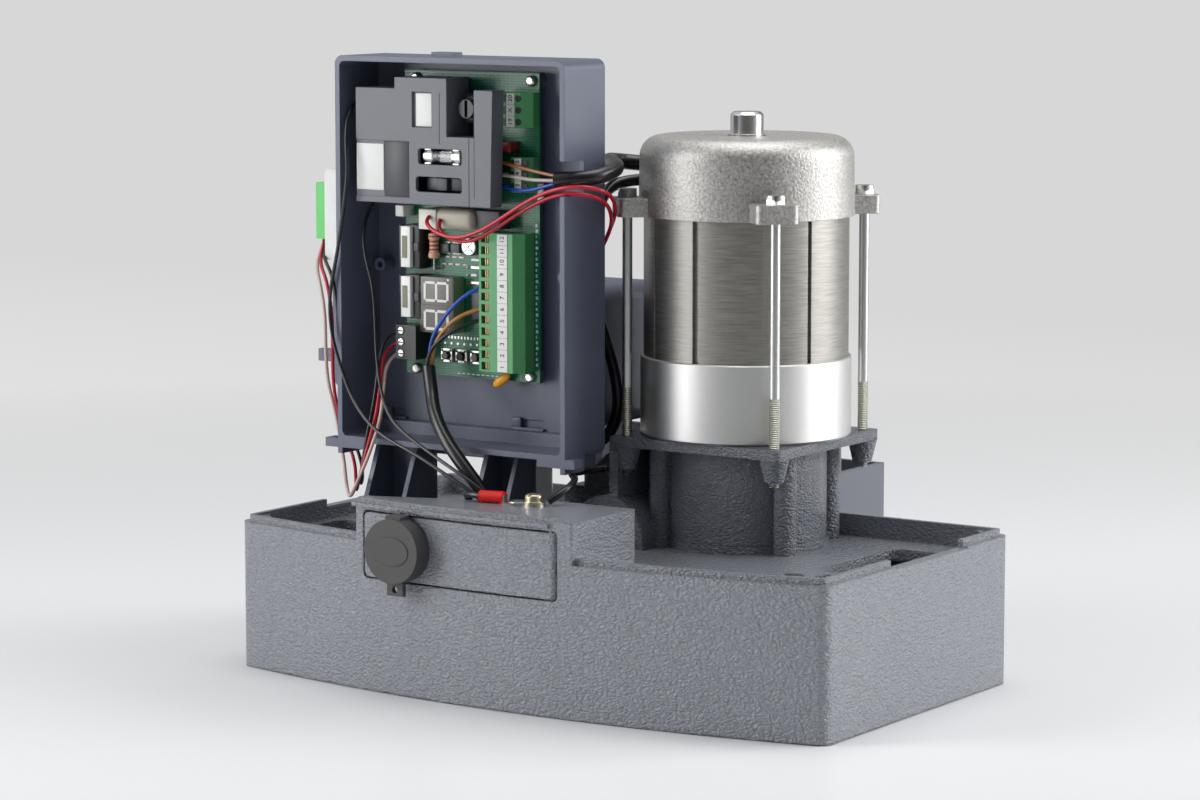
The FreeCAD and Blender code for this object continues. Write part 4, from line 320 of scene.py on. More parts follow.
lay_lead("receiver_wire_3", "receiver_wires", [
    (-96, -28.6, 139.8), (-100.8, -30, 139.2), (-102.6, -35.4, 133.6), (-98.6, -42.6, 124),
    (-95.6, -49, 110.8), (-97.6, -54.8, 96.4), (-102.8, -57, 83.4), (-110.4, -52, 75.2),
    (-119.6, -42.6, 78), (-127, -34.6, 87.6), (-131.6, -31.6, 98.8), (-134, -32.4, 112),
    (-134.8, -36.6, 125.6), (-134.6, -37.8, 140), (-135.2, -37.2, 155), (-138.8, -35.6, 167.4),
    (-144.6, -31, 174.4), (-147.2, -26, 180.6), (-146.2, -21.8, 188),
], 0.8, cream_insulation)
lay_lead("earth_wire_1", "earth_wires", [
    (3.6, -61.8, 84.9), (6.6, -59, 87.6), (8.6, -52, 91), (5, -43, 92.8), (-2, -35.5, 92.6),
    (-8.4, -26.5, 91.8), (-9.4, -15.5, 91.4), (-6, -7.4, 91.8), (-3.2, -4.8, 92), (0.2, -4.6, 92),
], 1.5, black_insulation)
lay_lead("earth_wire_2", "earth_wires", [
    (-27.9, -68.3, 85.7), (-33.5, -68.6, 86.2), (-38.2, -63.6, 84), (-36.4, -57, 76.2), (-33, -50, 68),
    (-31.6, -46.8, 57), (-31.4, -46.6, 46),
], 1.5, black_insulation)


# The base is one aluminium casting with baked wrinkle paint, coarse and soft-edged, and so is
# its key door. The gear housing bolted into it has a darker, finer and glossier coat.
weld_gap = 0.000004
crisp_corner = math.radians(32)


def dress(names, material):
    # gives CAD pieces their finish, with smooth round faces and crisp corners
    for name in names:
        piece = nodes[name]
        piece.data.materials.clear()
        piece.data.materials.append(material)
        piece.data.shade_smooth()
        weld = piece.modifiers.new("join", "WELD")
        weld.merge_threshold = weld_gap
        split = piece.modifiers.new("corners", "EDGE_SPLIT")
        split.split_angle = crisp_corner


def relief_group(name, inputs):
    # an empty node group that is to give a surface its height and its light and dark
    group = bpy.data.node_groups.new(name, "ShaderNodeTree")
    for socket, kind, value in inputs:
        made = group.interface.new_socket(socket, in_out="INPUT", socket_type="NodeSocket" + kind)
        made.default_value = value
    for socket in ("Height", "Tone"):
        group.interface.new_socket(socket, in_out="OUTPUT", socket_type="NodeSocketFloat")
    return group, group.nodes.new("NodeGroupInput"), group.nodes.new("NodeGroupOutput")


def wrinkle_group():
    group, inside, outside = relief_group(
        "wrinkle paint", (("Scale", "Float", 420.0), ("Fine", "Float", 0.4)))
    place = add_node(group, "TexCoord")
    drift = add_node(group, "TexNoise", {"Scale": 260.0, "Detail": 2.0})
    drawn = add_node(group, "VectorMath", {1: (0.72, 0.72, 1.10)}, operation="MULTIPLY")
    bend = add_node(group, "Mix", {0: 0.0022}, data_type="VECTOR")
    cells = add_node(group, "TexVoronoi", feature="SMOOTH_F1")
    cells.inputs["Smoothness"].default_value = 0.55
    speckle = add_node(group, "TexNoise", {"Detail": 4.0})
    faster = add_node(group, "Math", {1: 2.6}, operation="MULTIPLY")
    flip = add_node(group, "Math", {0: 1.0}, operation="SUBTRACT")
    blend = add_node(group, "Mix", data_type="FLOAT")
    join(group,
         (place, "Object", drift, "Vector"),
         (place, "Object", drawn, 0),
         (drawn, 0, bend, 4),
         (drift, "Color", bend, 5),
         (bend, 1, cells, "Vector"),
         (inside, "Scale", cells, "Scale"),
         (inside, "Scale", faster, 0),
         (faster, 0, speckle, "Scale"),
         (place, "Object", speckle, "Vector"),
         (cells, "Distance", flip, 1),
         (inside, "Fine", blend, 0),
         (flip, 0, blend, 2),
         (speckle, "Fac", blend, 3),
         (blend, 0, outside, "Height"),
         (blend, 0, outside, "Tone"))
    return group


wrinkle = wrinkle_group()


def painted_casting(name, colour, scale, fine, depth, roughness, edge):
    # depth of the wrinkles and radius of the edges are in millimetres
    material, tree, shader = fresh_material(name, roughness)
    texture = add_node(tree, "Group", node_tree=wrinkle)
    texture.inputs["Scale"].default_value = scale
    texture.inputs["Fine"].default_value = fine
    soft_edge = add_node(tree, "Bevel", {"Radius": edge * MM}, samples=4)
    bump = add_node(tree, "Bump", {"Strength": 1.0, "Distance": depth * MM})
    # partly the paint's own mottle and partly painted light: painted shade in the wrinkle valleys and painted
    # highlight on the crests
    tone = colour_mix(tree, [c * 0.70 for c in colour], [c * 1.12 for c in colour])
    join(tree,
         (texture, "Height", bump, "Height"),
         (soft_edge, "Normal", bump, "Normal"),
         (bump, "Normal", shader, "Normal"),
         (texture, "Tone", tone, 0),
         (tone, 2, shader, "Base Color"))
    shader.inputs["Specular IOR Level"].default_value = 0.55
    shader.inputs["Coat Weight"].default_value = 0.25
    shader.inputs["Coat Roughness"].default_value = 0.22
    return material


base_paint = painted_casting("wrinkle paint, base", (0.246, 0.258, 0.294), 920.0, 0.26, 1.15, 0.24, 1.6)
tower_paint = painted_casting("speckle paint, gear housing", (0.150, 0.160, 0.190), 1000.0, 0.30, 1.30,
                              0.16, 0.7)
dress(["base_casting", "release_door"], base_paint)
dress(["gear_case", "gear_housing"], tower_paint)


# Bare metal: the sand-cast end cap and the turned ring of the motor, its pressed laminations,
# and the ground, plated, cast and wound metal of the parts inside and of the fixings.
def grain_group():
    group, inside, outside = relief_group(
        "metal grain", (("Stretch", "Vector", (1, 1, 1)), ("Scale", "Float", 900.0)))
    place = add_node(group, "TexCoord")
    stretch = add_node(group, "VectorMath", operation="MULTIPLY")
    fine = add_node(group, "TexNoise", {"Detail": 5.0})
    broad = add_node(group, "TexNoise", {"Scale": 45.0, "Detail": 4.0})
    join(group,
         (place, "Object", stretch, 0),
         (inside, "Stretch", stretch, 1),
         (stretch, 0, fine, "Vector"),
         (inside, "Scale", fine, "Scale"),
         (place, "Object", broad, "Vector"),
         (fine, "Fac", outside, "Height"),
         (broad, "Fac", outside, "Tone"))
    return group


grain = grain_group()
worn_edge = 0.4


def bare_metal(name, colour, scale, stretch, depth, roughness, metallic=1.0, spread=0.16, mottle=0.1):
    # spread is how far the colour strays, and mottle how much of that is fine grain
    material, tree, shader = fresh_material(name, roughness)
    shader.inputs["Metallic"].default_value = metallic
    texture = add_node(tree, "Group", node_tree=grain)
    texture.inputs["Stretch"].default_value = stretch
    texture.inputs["Scale"].default_value = scale
    soft_edge = add_node(tree, "Bevel", {"Radius": worn_edge * MM}, samples=4)
    bump = add_node(tree, "Bump", {"Strength": 1.0, "Distance": depth * MM})
    darker = [c * (1 - spread) for c in colour]
    lighter = [min(1.0, c * (1 + spread)) for c in colour]
    tone = colour_mix(tree, darker, lighter)
    gloss = add_node(tree, "MapRange", {"To Min": roughness * 0.8, "To Max": roughness * 1.25})
    patch = add_node(tree, "Mix", {0: mottle}, data_type="FLOAT")
    crisp = add_node(tree, "MapRange", {"From Min": 0.30, "From Max": 0.70})
    join(tree,
         (texture, "Height", bump, "Height"),
         (soft_edge, "Normal", bump, "Normal"),
         (bump, "Normal", shader, "Normal"),
         (texture, "Height", crisp, "Value"),
         (texture, "Tone", patch, 2),
         (crisp, "Result", patch, 3),
         (patch, 0, tone, 0),
         (tone, 2, shader, "Base Color"),
         (texture, "Height", gloss, "Value"),
         (gloss, "Result", shader, "Roughness"))
    return material


even = (1, 1, 1)
cast_aluminium = bare_metal("sand-cast aluminium", (0.43, 0.42, 0.405), 880.0, even, 0.22, 0.50,
                            spread=0.30, mottle=0.85)
turned_aluminium = bare_metal("turned aluminium", (0.62, 0.62, 0.61), 900.0, (0.10, 0.10, 5.0), 0.006, 0.42,
                              spread=0.05, mottle=0.5)
lamination_steel = bare_metal("stacked laminations", (0.30, 0.29, 0.27), 950.0, (0.10, 0.10, 1.9), 0.05, 0.42,
                              spread=0.26, mottle=0.75)
bright_steel = bare_metal("ground steel", (0.66, 0.65, 0.63), 1200.0, (0.3, 0.3, 4.0), 0.008, 0.22)
zinc_steel = bare_metal("zinc-plated steel", (0.62, 0.63, 0.57), 1200.0, even, 0.010, 0.28)
passivated_steel = bare_metal("yellow passivated steel", (0.58, 0.53, 0.38), 1200.0, even, 0.02, 0.34)
wheel_bronze = bare_metal("wheel bronze", (0.58, 0.38, 0.16), 900.0, even, 0.010, 0.34)
winding_copper = bare_metal("enamelled copper", (0.55, 0.24, 0.10), 900.0, (0.2, 0.2, 3.0), 0.10, 0.38)
dress(["end_cap"], cast_aluminium)
dress(["motor_ring"], turned_aluminium)
dress(["transformer", "rotor_core"], lamination_steel)
dress(["worm_shaft", "output_shaft", "push_rod", "clutch_sleeve", "clutch_pin", "clutch_spring",
       "case_screws", "shaft_bearings", "output_bearings", "hinge_pin", "pinion_fixings", "lock_plug"],
      bright_steel)
dress(["fixing_screws", "board_screws", "drive_pinion", "release_slider", "lock_body"], zinc_steel)
dress(["earth_screw"], passivated_steel)
dress(["worm_wheel"], wheel_bronze)
dress(["stator_windings"], winding_copper)


# Moulded plastics: the dark blue-grey box, stand and rear housing, the lighter pinion guard,
# the charcoal board cover, the rubber cap and seals, and the clear can of the capacitor.
def moulded_plastic(name, colour, roughness, grain_depth=0.02):
    material = bare_metal(name, colour, 2400.0, even, grain_depth, roughness, metallic=0.0, spread=0.05)
    material.node_tree.nodes["Principled BSDF"].inputs["Specular IOR Level"].default_value = 0.5
    return material


box_plastic = moulded_plastic("blue-grey box plastic", (0.096, 0.108, 0.156), 0.36)
guard_plastic = moulded_plastic("guard plastic", (0.128, 0.138, 0.168), 0.42)
cover_plastic = moulded_plastic("charcoal cover plastic", (0.128, 0.133, 0.155), 0.42, 0.05)
cap_rubber = moulded_plastic("black rubber", (0.058, 0.057, 0.056), 0.58, 0.05)
seal_rubber = moulded_plastic("seal rubber", (0.02, 0.02, 0.02), 0.5)
black_plastic = moulded_plastic("black plastic", (0.014, 0.014, 0.016), 0.34)
clear_can = moulded_plastic("natural plastic can", (0.84, 0.86, 0.87), 0.24)
clear_can.node_tree.nodes["Principled BSDF"].inputs["Transmission Weight"].default_value = 0.55
dress(["control_box", "box_stand", "side_bracket", "rear_housing"], box_plastic)
dress(["pinion_guard"], guard_plastic)
dress(["board_cover"], cover_plastic)
dress(["key_cap"], cap_rubber)
dress(["oil_seals"], seal_rubber)
dress(["run_capacitor"], clear_can)
dress(["force_knob", "push_button_1", "push_button_2", "push_button_3"], black_plastic)


# Two-part finishes, for pieces whose colour changes at a plane across X: green and black
# terminal blocks, the white receiver with its green plug, the lug in its red sleeve.
def split_finish(name, plane, near, far, roughness, metal=(0.0, 0.0)):
    # near is the colour below the plane, and far the one above it
    material, tree, shader = fresh_material(name, roughness)
    place = add_node(tree, "TexCoord")
    parts = add_node(tree, "SeparateXYZ")
    above = add_node(tree, "Math", {1: plane * MM}, operation="GREATER_THAN")
    texture = add_node(tree, "Group", node_tree=grain)
    texture.inputs["Scale"].default_value = 1800.0
    texture.inputs["Stretch"].default_value = even
    bump = add_node(tree, "Bump", {"Distance": 0.00003})
    tone = colour_mix(tree, near, far)
    worn = add_node(tree, "Mix", {0: 0.35}, data_type="RGBA", blend_type="MULTIPLY")
    shine = add_node(tree, "MapRange", {"To Min": metal[0], "To Max": metal[1]})
    join(tree,
         (place, "Object", parts, 0),
         (parts, "X", above, 0),
         (above, 0, tone, 0),
         (tone, 2, worn, 6),
         (texture, "Tone", worn, 7),
         (worn, 2, shader, "Base Color"),
         (above, 0, shine, "Value"),
         (shine, "Result", shader, "Metallic"),
         (texture, "Height", bump, "Height"),
         (bump, "Normal", shader, "Normal"))
    return material


terminal_finish = split_finish("terminal plastics", -85.0, (0.016, 0.016, 0.018), (0.085, 0.37, 0.13), 0.36)
receiver_finish = split_finish("receiver plastics", -140.5, (0.11, 0.62, 0.14), (0.84, 0.85, 0.84), 0.38)
lug_finish = split_finish("ring lug and its red sleeve", -16.0, (0.86, 0.015, 0.010), (0.62, 0.60, 0.55),
                          0.30, (0.0, 1.0))
dress(["screw_terminals"], terminal_finish)
dress(["receiver"], receiver_finish)
dress(["earth_lug"], lug_finish)


# The stator: a stack of pressed steel laminations clamped between the ring and the end cap,
# with narrow slots down its outside between the poles.
def finish_piece(name, mesh, materials, node=None):
    data = bpy.data.meshes.new(name)
    mesh.to_mesh(data)
    mesh.free()
    for material in materials:
        data.materials.append(material)
    data.shade_smooth()
    piece = bpy.data.objects.new(name, data)
    scene.collection.objects.link(piece)
    split = piece.modifiers.new("corners", "EDGE_SPLIT")
    split.split_angle = math.radians(35)
    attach(piece, "frame")
    if node:
        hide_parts(node)


stator_low, stator_high = [Vector(corner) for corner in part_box("stator_stack")]
stator_axis = (stator_low + stator_high) / 2
stator_radius = 0.045
stator_bore = 0.0272
slot_depth = 0.0018
slot_places = ((-119.5, 0.9), (-87.0, 1.6), (-21.4, 1.0), (60.5, 0.9), (93.0, 1.6), (158.6, 1.0))
stack = bmesh.new()
stack_foot = Matrix.Translation((stator_axis.x, stator_axis.y, stator_low.z))
outer_rim = bmesh.ops.create_circle(stack, cap_ends=False, segments=720, radius=stator_radius,
                                    matrix=stack_foot)
bmesh.ops.create_circle(stack, cap_ends=False, segments=720, radius=stator_bore, matrix=stack_foot)
bmesh.ops.bridge_loops(stack, edges=stack.edges[:])
for vert in outer_rim["verts"]:
    out = Vector((vert.co.x - stator_axis.x, vert.co.y - stator_axis.y))
    heading = math.degrees(math.atan2(out.y, out.x))
    if any(abs((heading - place + 180) % 360 - 180) < half for place, half in slot_places):
        vert.co.xy = vert.co.xy - out.normalized() * slot_depth
raised = bmesh.ops.extrude_face_region(stack, geom=stack.faces[:] + stack.edges[:] + stack.verts[:])
raised_verts = [item for item in raised["geom"] if isinstance(item, bmesh.types.BMVert)]
bmesh.ops.translate(stack, verts=raised_verts, vec=(0.0, 0.0, stator_high.z - stator_low.z))
bmesh.ops.recalc_face_normals(stack, faces=stack.faces[:])
finish_piece("lamination_stack", stack, [lamination_steel], "stator_stack")


# The four tie rods hold the motor together: zinc-plated steel, with a thread rolled on their
# lower ends, which screw into the flange of the gear housing.
thread_pitch = 0.0008
thread_top = 0.1285


def rod_finish():
    material, tree, shader = fresh_material("threaded zinc rod", 0.31)
    shader.inputs["Metallic"].default_value = 1.0
    place = add_node(tree, "TexCoord")
    parts = add_node(tree, "SeparateXYZ")
    turns = add_node(tree, "Math", {1: 2 * math.pi / thread_pitch}, operation="MULTIPLY")
    crest = add_node(tree, "Math", operation="SINE")
    low = add_node(tree, "Math", {1: thread_top}, operation="LESS_THAN")
    thread = add_node(tree, "Math", operation="MULTIPLY")
    bump = add_node(tree, "Bump", {"Distance": 0.00022})
    tone = colour_mix(tree, (0.58, 0.60, 0.58), (0.54, 0.55, 0.46))
    join(tree,
         (place, "Object", parts, 0),
         (parts, "Z", turns, 0),
         (parts, "Z", low, 0),
         (turns, 0, crest, 0),
         (crest, 0, thread, 0),
         (low, 0, thread, 1),
         (thread, 0, bump, "Height"),
         (bump, "Normal", shader, "Normal"),
         (low, 0, tone, 0),
         (tone, 2, shader, "Base Color"))
    return material


dress(["tie_rods"], rod_finish())


# The printed circuit board: glass-filled resin with green solder mask over copper tracks,
# held in the box by four screws.
def board_finish():
    material, tree, shader = fresh_material("green circuit board", 0.28)
    place = add_node(tree, "TexCoord")
    turn = add_node(tree, "Mapping", {"Rotation": (math.radians(90), 0, 0)})
    tracks = add_node(tree, "TexBrick", {
        "Scale": 210.0, "Mortar Size": 0.10, "Mortar Smooth": 0.4,
        "Color1": (0.004, 0.062, 0.028, 1.0), "Color2": (0.006, 0.090, 0.042, 1.0),
        "Mortar": (0.012, 0.155, 0.078, 1.0)}, offset=0.37, squash=1.6)
    bump = add_node(tree, "Bump", {"Distance": 0.00004})
    join(tree,
         (place, "Object", turn, "Vector"),
         (turn, "Vector", tracks, "Vector"),
         (tracks, "Color", shader, "Base Color"),
         (tracks, "Fac", bump, "Height"),
         (bump, "Normal", shader, "Normal"))
    return material


dress(["circuit_board"], board_finish())


# Screw terminals: green moulded blocks with a printed number strip and a brass clamp in each mouth,
# with painted shade in black at the back of each mouth, a black disc of painted shade for the sunk
# steel screw beside each number, a flat dark green patch of painted shade for each small block's
# mouth, and a black slot of painted shade across the three screw heads below.
pole = 5.08
digit_height = 3.1
digit_depth = 0.06
quarter_turn = math.radians(90)
# the dark green of the small blocks' mouths is painted shade
mouth_shade_green = moulded_plastic("terminal mouth, painted shade", (0.010, 0.060, 0.020), 0.45)
paper_white = moulded_plastic("printed white label", (0.74, 0.74, 0.73), 0.55, 0.01)
# black for the printed numbers and seams, and for painted shade in holes, mouths and screw slots
black_print_and_shade = moulded_plastic("black print and painted shade", (0.03, 0.03, 0.03), 0.5, 0.01)
tinned = bare_metal("tinned brass", (0.68, 0.67, 0.63), 1200.0, even, 0.02, 0.30)
brass = bare_metal("terminal brass", (0.50, 0.36, 0.20), 1200.0, even, 0.02, 0.34)


def round_edges(mesh, edges, radius):
    bmesh.ops.bevel(mesh, geom=edges, offset=radius * MM, offset_type="OFFSET", segments=3, profile=0.5,
                    affect="EDGES", material=-1)


def add_box(mesh, low, high, finish=0, edge=0.0, turn=None):
    # corners and edge radius are in millimetres
    low = Vector(low)
    high = Vector(high)
    size = (high - low) * MM
    place = Matrix.Translation((low + high) * MM / 2)
    if turn:
        place = place @ turn
    verts = bmesh.ops.create_cube(mesh, size=1.0, matrix=place @ Matrix.Diagonal((*size, 1.0)))["verts"]
    for face in {face for vert in verts for face in vert.link_faces}:
        face.material_index = finish
    if edge > 0:
        round_edges(mesh, list({e for vert in verts for e in vert.link_edges}), edge)


def add_rod(mesh, start, end, radius, finish=0, sides=32, edge=0.0):
    start = Vector(start) * MM
    end = Vector(end) * MM
    way = end - start
    place = Matrix.Translation((start + end) / 2) @ way.to_track_quat("Z", "Y").to_matrix().to_4x4()
    verts = bmesh.ops.create_cone(mesh, cap_ends=True, cap_tris=False, segments=sides, radius1=radius * MM,
                                  radius2=radius * MM, depth=way.length, matrix=place)["verts"]
    for face in {face for vert in verts for face in vert.link_faces}:
        face.material_index = finish
    if edge > 0:
        rims = [e for e in {e for vert in verts for e in vert.link_edges}
                if any(len(f.verts) > 4 for f in e.link_faces)]
        round_edges(mesh, rims, edge)


def add_number(mesh, text, middle):
    # a numeral in a plain face on the strip's front, lying on its side as printed
    words = bpy.data.curves.new("numeral", "FONT")
    words.body = text
    words.size = digit_height * MM
    words.extrude = digit_depth * MM
    words.align_x = "CENTER"
    words.align_y = "CENTER"
    holder = bpy.data.objects.new("numeral", words)
    shape = bpy.data.meshes.new_from_object(holder)
    place = Matrix.Translation(Vector(middle) * MM) @ Matrix.Rotation(quarter_turn, 4, (0, -1, 0))
    shape.transform(place @ Matrix.Rotation(quarter_turn, 4, "X"))
    first = len(mesh.faces)
    mesh.from_mesh(shape)
    mesh.faces.ensure_lookup_table()
    for face in mesh.faces[first:]:
        face.material_index = 1
    bpy.data.objects.remove(holder)
    bpy.data.curves.remove(words)
    bpy.data.meshes.remove(shape)


strips = bmesh.new()
clamps = bmesh.new()
for left, right, low, face_y, numbers, mouth in (
        (-42.4, -37.0, 134.6, -34.0, [str(n) for n in range(1, 13)], -50.9),
        (-38.8, -34.7, 241.7, -31.6, ["19", "X", "20"], None),
        (-34.6, -31.2, 213.6, -31.6, ["13", "14", "15"], None)):
    high = low + len(numbers) * pole
    add_box(strips, (left, face_y - 0.25, low + 0.3), (right, face_y + 0.1, high - 0.3))
    for n, number in enumerate(numbers):
        z = low + (n + 0.5) * pole
        add_number(strips, number, ((left + right) / 2, face_y - 0.28, z))
        if n:
            seam = z - pole / 2
            add_box(strips, (left, face_y - 0.29, seam - 0.06), (right, face_y - 0.2, seam + 0.06), 1)
        # the sunk screw beside each number is a black disc of painted shade
        hole = right + (3.1 if mouth else 2.0)
        sunk = face_y + (1.52 if mouth else 0.0)
        lean = 0.5 if mouth else 0.0
        add_rod(clamps, (hole + lean * 0.2, sunk - 0.1, z), (hole - lean, sunk + 0.5, z), 1.5, 1)
        if not mouth:
            # the mouth of each small block is a flat dark green patch of painted shade
            add_box(clamps, (left - 3.2, face_y - 0.03, z - 1.7), (left - 0.4, face_y + 0.3, z + 1.7), 3)
            continue
        for jaw in (mouth + 1.2, mouth + 2.3):
            add_box(clamps, (jaw, face_y + 1.2, z - 1.6), (jaw + 0.5, face_y + 3.1, z + 1.6))
        # a black plate of painted shade at the back of each mouth
        add_box(clamps, (mouth + 0.2, face_y + 2.6, z - 1.6), (mouth + 3.9, face_y + 3.15, z + 1.6), 1)
for n in range(3):
    z = 137.2 + (n + 0.5) * pole
    add_rod(clamps, (-95.0, -34.5, z), (-95.0, -33.5, z), 1.7, 2, 28, edge=0.3)
    # a black slot of painted shade across each screw head
    add_box(clamps, (-96.5, -34.55, z - 0.25), (-93.5, -34.4, z + 0.25), 1)
finish_piece("number_strips", strips, [paper_white, black_print_and_shade])
finish_piece("terminal_clamps", clamps, [brass, black_print_and_shade, tinned, mouth_shade_green])


# Snap catches, moulded in one with the floor of the box above its lower rim: each is a low
# shelf with a raised lip.
catches = bmesh.new()
for near, far in ((-116.5, -105.5), (-45.0, -30.0)):
    add_box(catches, (near, -15.6, 108.8), (far, -14.8, 112.2), 0)
    add_box(catches, (near - 1.0, -18.4, 107.2), (far + 1.0, -16.4, 108.7), 0, 0.3)
    add_box(catches, (near - 1.0, -18.4, 108.7), (near + 3.8, -16.4, 113.0), 0, 0.4)
finish_piece("box_catches", catches, [box_plastic])


# The earth lug's second ring: tinned brass, stamped flat, lying on the ledge beside the
# screw.
lug_ring = bmesh.new()
add_rod(lug_ring, (-9.9, -64.5, 83.85), (-9.9, -64.5, 84.55), 4.5, 0, 36, edge=0.2)
add_rod(lug_ring, (-9.9, -64.5, 84.5), (-9.9, -64.5, 84.6), 2.4, 1, 28)
finish_piece("lug_ring", lug_ring, [tinned, base_paint])


# The board cover's trim: two blank white paper labels set in its recesses, the seams
# between its moulded panels, and a darker plate beside the larger label.
chip_case = moulded_plastic("grey chip case", (0.060, 0.062, 0.070), 0.45, 0.06)
labels = bmesh.new()
add_box(labels, (-112.3, -42.75, 212.8), (-97.4, -42.45, 233.2), 0, 0.1)
add_box(labels, (-79.9, -42.3, 241.6), (-71.4, -41.7, 256.0), 0, 0.1)
finish_piece("cover_labels", labels, [paper_white])
creases = bmesh.new()
add_box(creases, (-51.15, -43.04, 207.5), (-50.75, -42.8, 237.3), 0)
add_box(creases, (-66.9, -43.03, 234.2), (-66.5, -42.8, 256.5), 0)
add_box(creases, (-48.3, -43.03, 211.0), (-48.0, -42.8, 250.5), 0)
add_box(creases, (-97.2, -42.6, 210.2), (-83.4, -42.46, 234.6), 1, 0.05)
finish_piece("cover_creases", creases, [black_print_and_shade, chip_case])


# The glass fuse: a clear tube pushed into two plated end caps, and held by the spring clips
# of its cradle on the board.
def fuse_glass():
    material, tree, shader = fresh_material("clear fuse glass", 0.05)
    shader.inputs["Transmission Weight"].default_value = 0.9
    place = add_node(tree, "TexCoord")
    haze = add_node(tree, "TexNoise", {"Scale": 900.0})
    tint = colour_mix(tree, (0.86, 0.90, 0.90), (0.97, 0.98, 0.98))
    join(tree,
         (place, "Object", haze, "Vector"),
         (haze, "Fac", tint, 0),
         (tint, 2, shader, "Base Color"))
    return material


bright_can = bare_metal("capacitor can top", (0.82, 0.83, 0.83), 900.0, even, 0.01, 0.38)
fuse_y = -39.6
fuse_z = 228.5
fuse = bmesh.new()
add_rod(fuse, (-72.2, fuse_y, fuse_z), (-60.8, fuse_y, fuse_z), 2.3, 0, 40)
for near, far in ((-76.5, -71.4), (-61.6, -56.5)):
    add_rod(fuse, (near, fuse_y, fuse_z), (far, fuse_y, fuse_z), 2.6, 1, 40, edge=0.5)
finish_piece("fuse_link", fuse, [fuse_glass(), bright_can], "glass_fuse")


# The white socket of the red leads and the cream relay beside it, each a closed moulded case
# soldered to the board.
board_y = -23.0
beige_case = moulded_plastic("white socket case", (0.66, 0.64, 0.58), 0.40)
cream_case = moulded_plastic("cream component case", (0.50, 0.48, 0.39), 0.42)
relay = bmesh.new()
add_box(relay, (-83.6, -36.0, 195.8), (-74.0, board_y, 204.8), 0, 0.5)
add_box(relay, (-76.6, -35.4, 196.2), (-55.4, board_y, 205.2), 1, 2.8)
finish_piece("supply_relay", relay, [beige_case, cream_case], "board_components")


# Dark chips and flat cases: two small chips with rows of tinned legs, and moulded blocks
# soldered flat to the board.
chips = bmesh.new()
add_box(chips, (-55.6, -32.0, 197.0), (-42.8, board_y, 205.0), 0, 0.3)
for left, right in ((-79.8, -75.3), (-74.2, -69.5)):
    add_box(chips, (left, -25.0, 185.0), (right, board_y + 0.3, 188.8), 0, 0.15)
    for n in range(6):
        x = left + 0.5 + n * (right - left - 1.0) / 5.0
        for z in (184.2, 189.0):
            add_box(chips, (x - 0.18, -23.5, z), (x + 0.18, board_y, z + 0.7), 1)
add_box(chips, (-63.0, -24.8, 156.0), (-54.5, board_y, 168.0), 0, 0.2)
add_box(chips, (-60.5, -24.6, 174.0), (-54.0, board_y, 177.5), 0, 0.2)
finish_piece("board_chips", chips, [chip_case, tinned], "board_components")


# The power resistor: a wound rod under a glazed skin with colour bands, standing on its
# tinned wires.
resistor_skin = moulded_plastic("resistor skin", (0.62, 0.33, 0.22), 0.40)
band_brown = moulded_plastic("resistor band", (0.22, 0.05, 0.02), 0.40)
resistor_x = -82.0
resistor_y = -26.6
resistor = bmesh.new()
for low, high, radius, finish, sides, edge in (
        (184.4, 191.4, 2.1, 0, 32, 0.0), (182.2, 185.2, 2.6, 0, 32, 0.9), (190.4, 193.4, 2.6, 0, 32, 0.9),
        (185.8, 186.6, 2.16, 1, 32, 0.0), (187.6, 188.4, 2.16, 1, 32, 0.0), (189.4, 190.2, 2.16, 1, 32, 0.0),
        (191.7, 192.4, 2.66, 1, 32, 0.0), (177.4, 182.6, 0.35, 2, 12, 0.0), (193.2, 195.0, 0.35, 2, 12, 0.0)):
    add_rod(resistor, (resistor_x, resistor_y, low), (resistor_x, resistor_y, high), radius, finish,
            sides, edge)
add_rod(resistor, (resistor_x, -26.8, 177.5), (resistor_x, board_y, 177.5), 0.35, 2, 12)
finish_piece("power_resistor", resistor, [resistor_skin, band_brown, tinned], "board_components")


# The round capacitor: a bright aluminium can in a dark sleeve, its top scored with a cross so that it can
# vent, the score lines drawn dark as painted shade in the grooves.
can_x = -60.8
can_z = 188.6
round_can = bmesh.new()
add_rod(round_can, (can_x, -29.6, can_z), (can_x, board_y, can_z), 4.1, 0, 40, edge=0.4)
add_rod(round_can, (can_x, -30.0, can_z), (can_x, -29.0, can_z), 3.7, 1, 40, edge=0.2)
# the score lines take the dark sleeve colour: painted shade in the grooves
for slant in (45, 135):
    score = Matrix.Rotation(math.radians(slant), 4, "Y")
    add_box(round_can, (-64.0, -30.06, 188.45), (-57.6, -29.9, 188.75), turn=score)
finish_piece("round_capacitor", round_can, [chip_case, bright_can], "board_components")


# Single parts here and there on the board: a red case and two white ones, and the orange
# disc at its foot, dipped in glaze and held on two wires.
gloss_white = moulded_plastic("glossy white", (0.76, 0.77, 0.75), 0.3)
dark_red = moulded_plastic("dark red case", (0.16, 0.008, 0.008), 0.4)
orange_glaze = moulded_plastic("orange glaze", (0.80, 0.36, 0.012), 0.25)
extras = bmesh.new()
add_box(extras, (-43.6, -31.0, 230.6), (-37.6, board_y, 235.4), 0, 0.8)
add_box(extras, (-100.0, -31.0, 200.4), (-95.6, board_y, 205.4), 1, 0.3)
disc_place = Matrix.Translation(Vector((-45.9, -26.0, 130.2)) * MM)
disc_lean = Matrix.Rotation(math.radians(-33), 4, "Y")
disc_size = Matrix.Diagonal((*[c * MM for c in (5.4, 1.6, 2.2)], 1.0))
disc = bmesh.ops.create_uvsphere(extras, u_segments=32, v_segments=20, radius=1.0,
                                 matrix=disc_place @ disc_lean @ disc_size)
for face in {face for vert in disc["verts"] for face in vert.link_faces}:
    face.material_index = 2
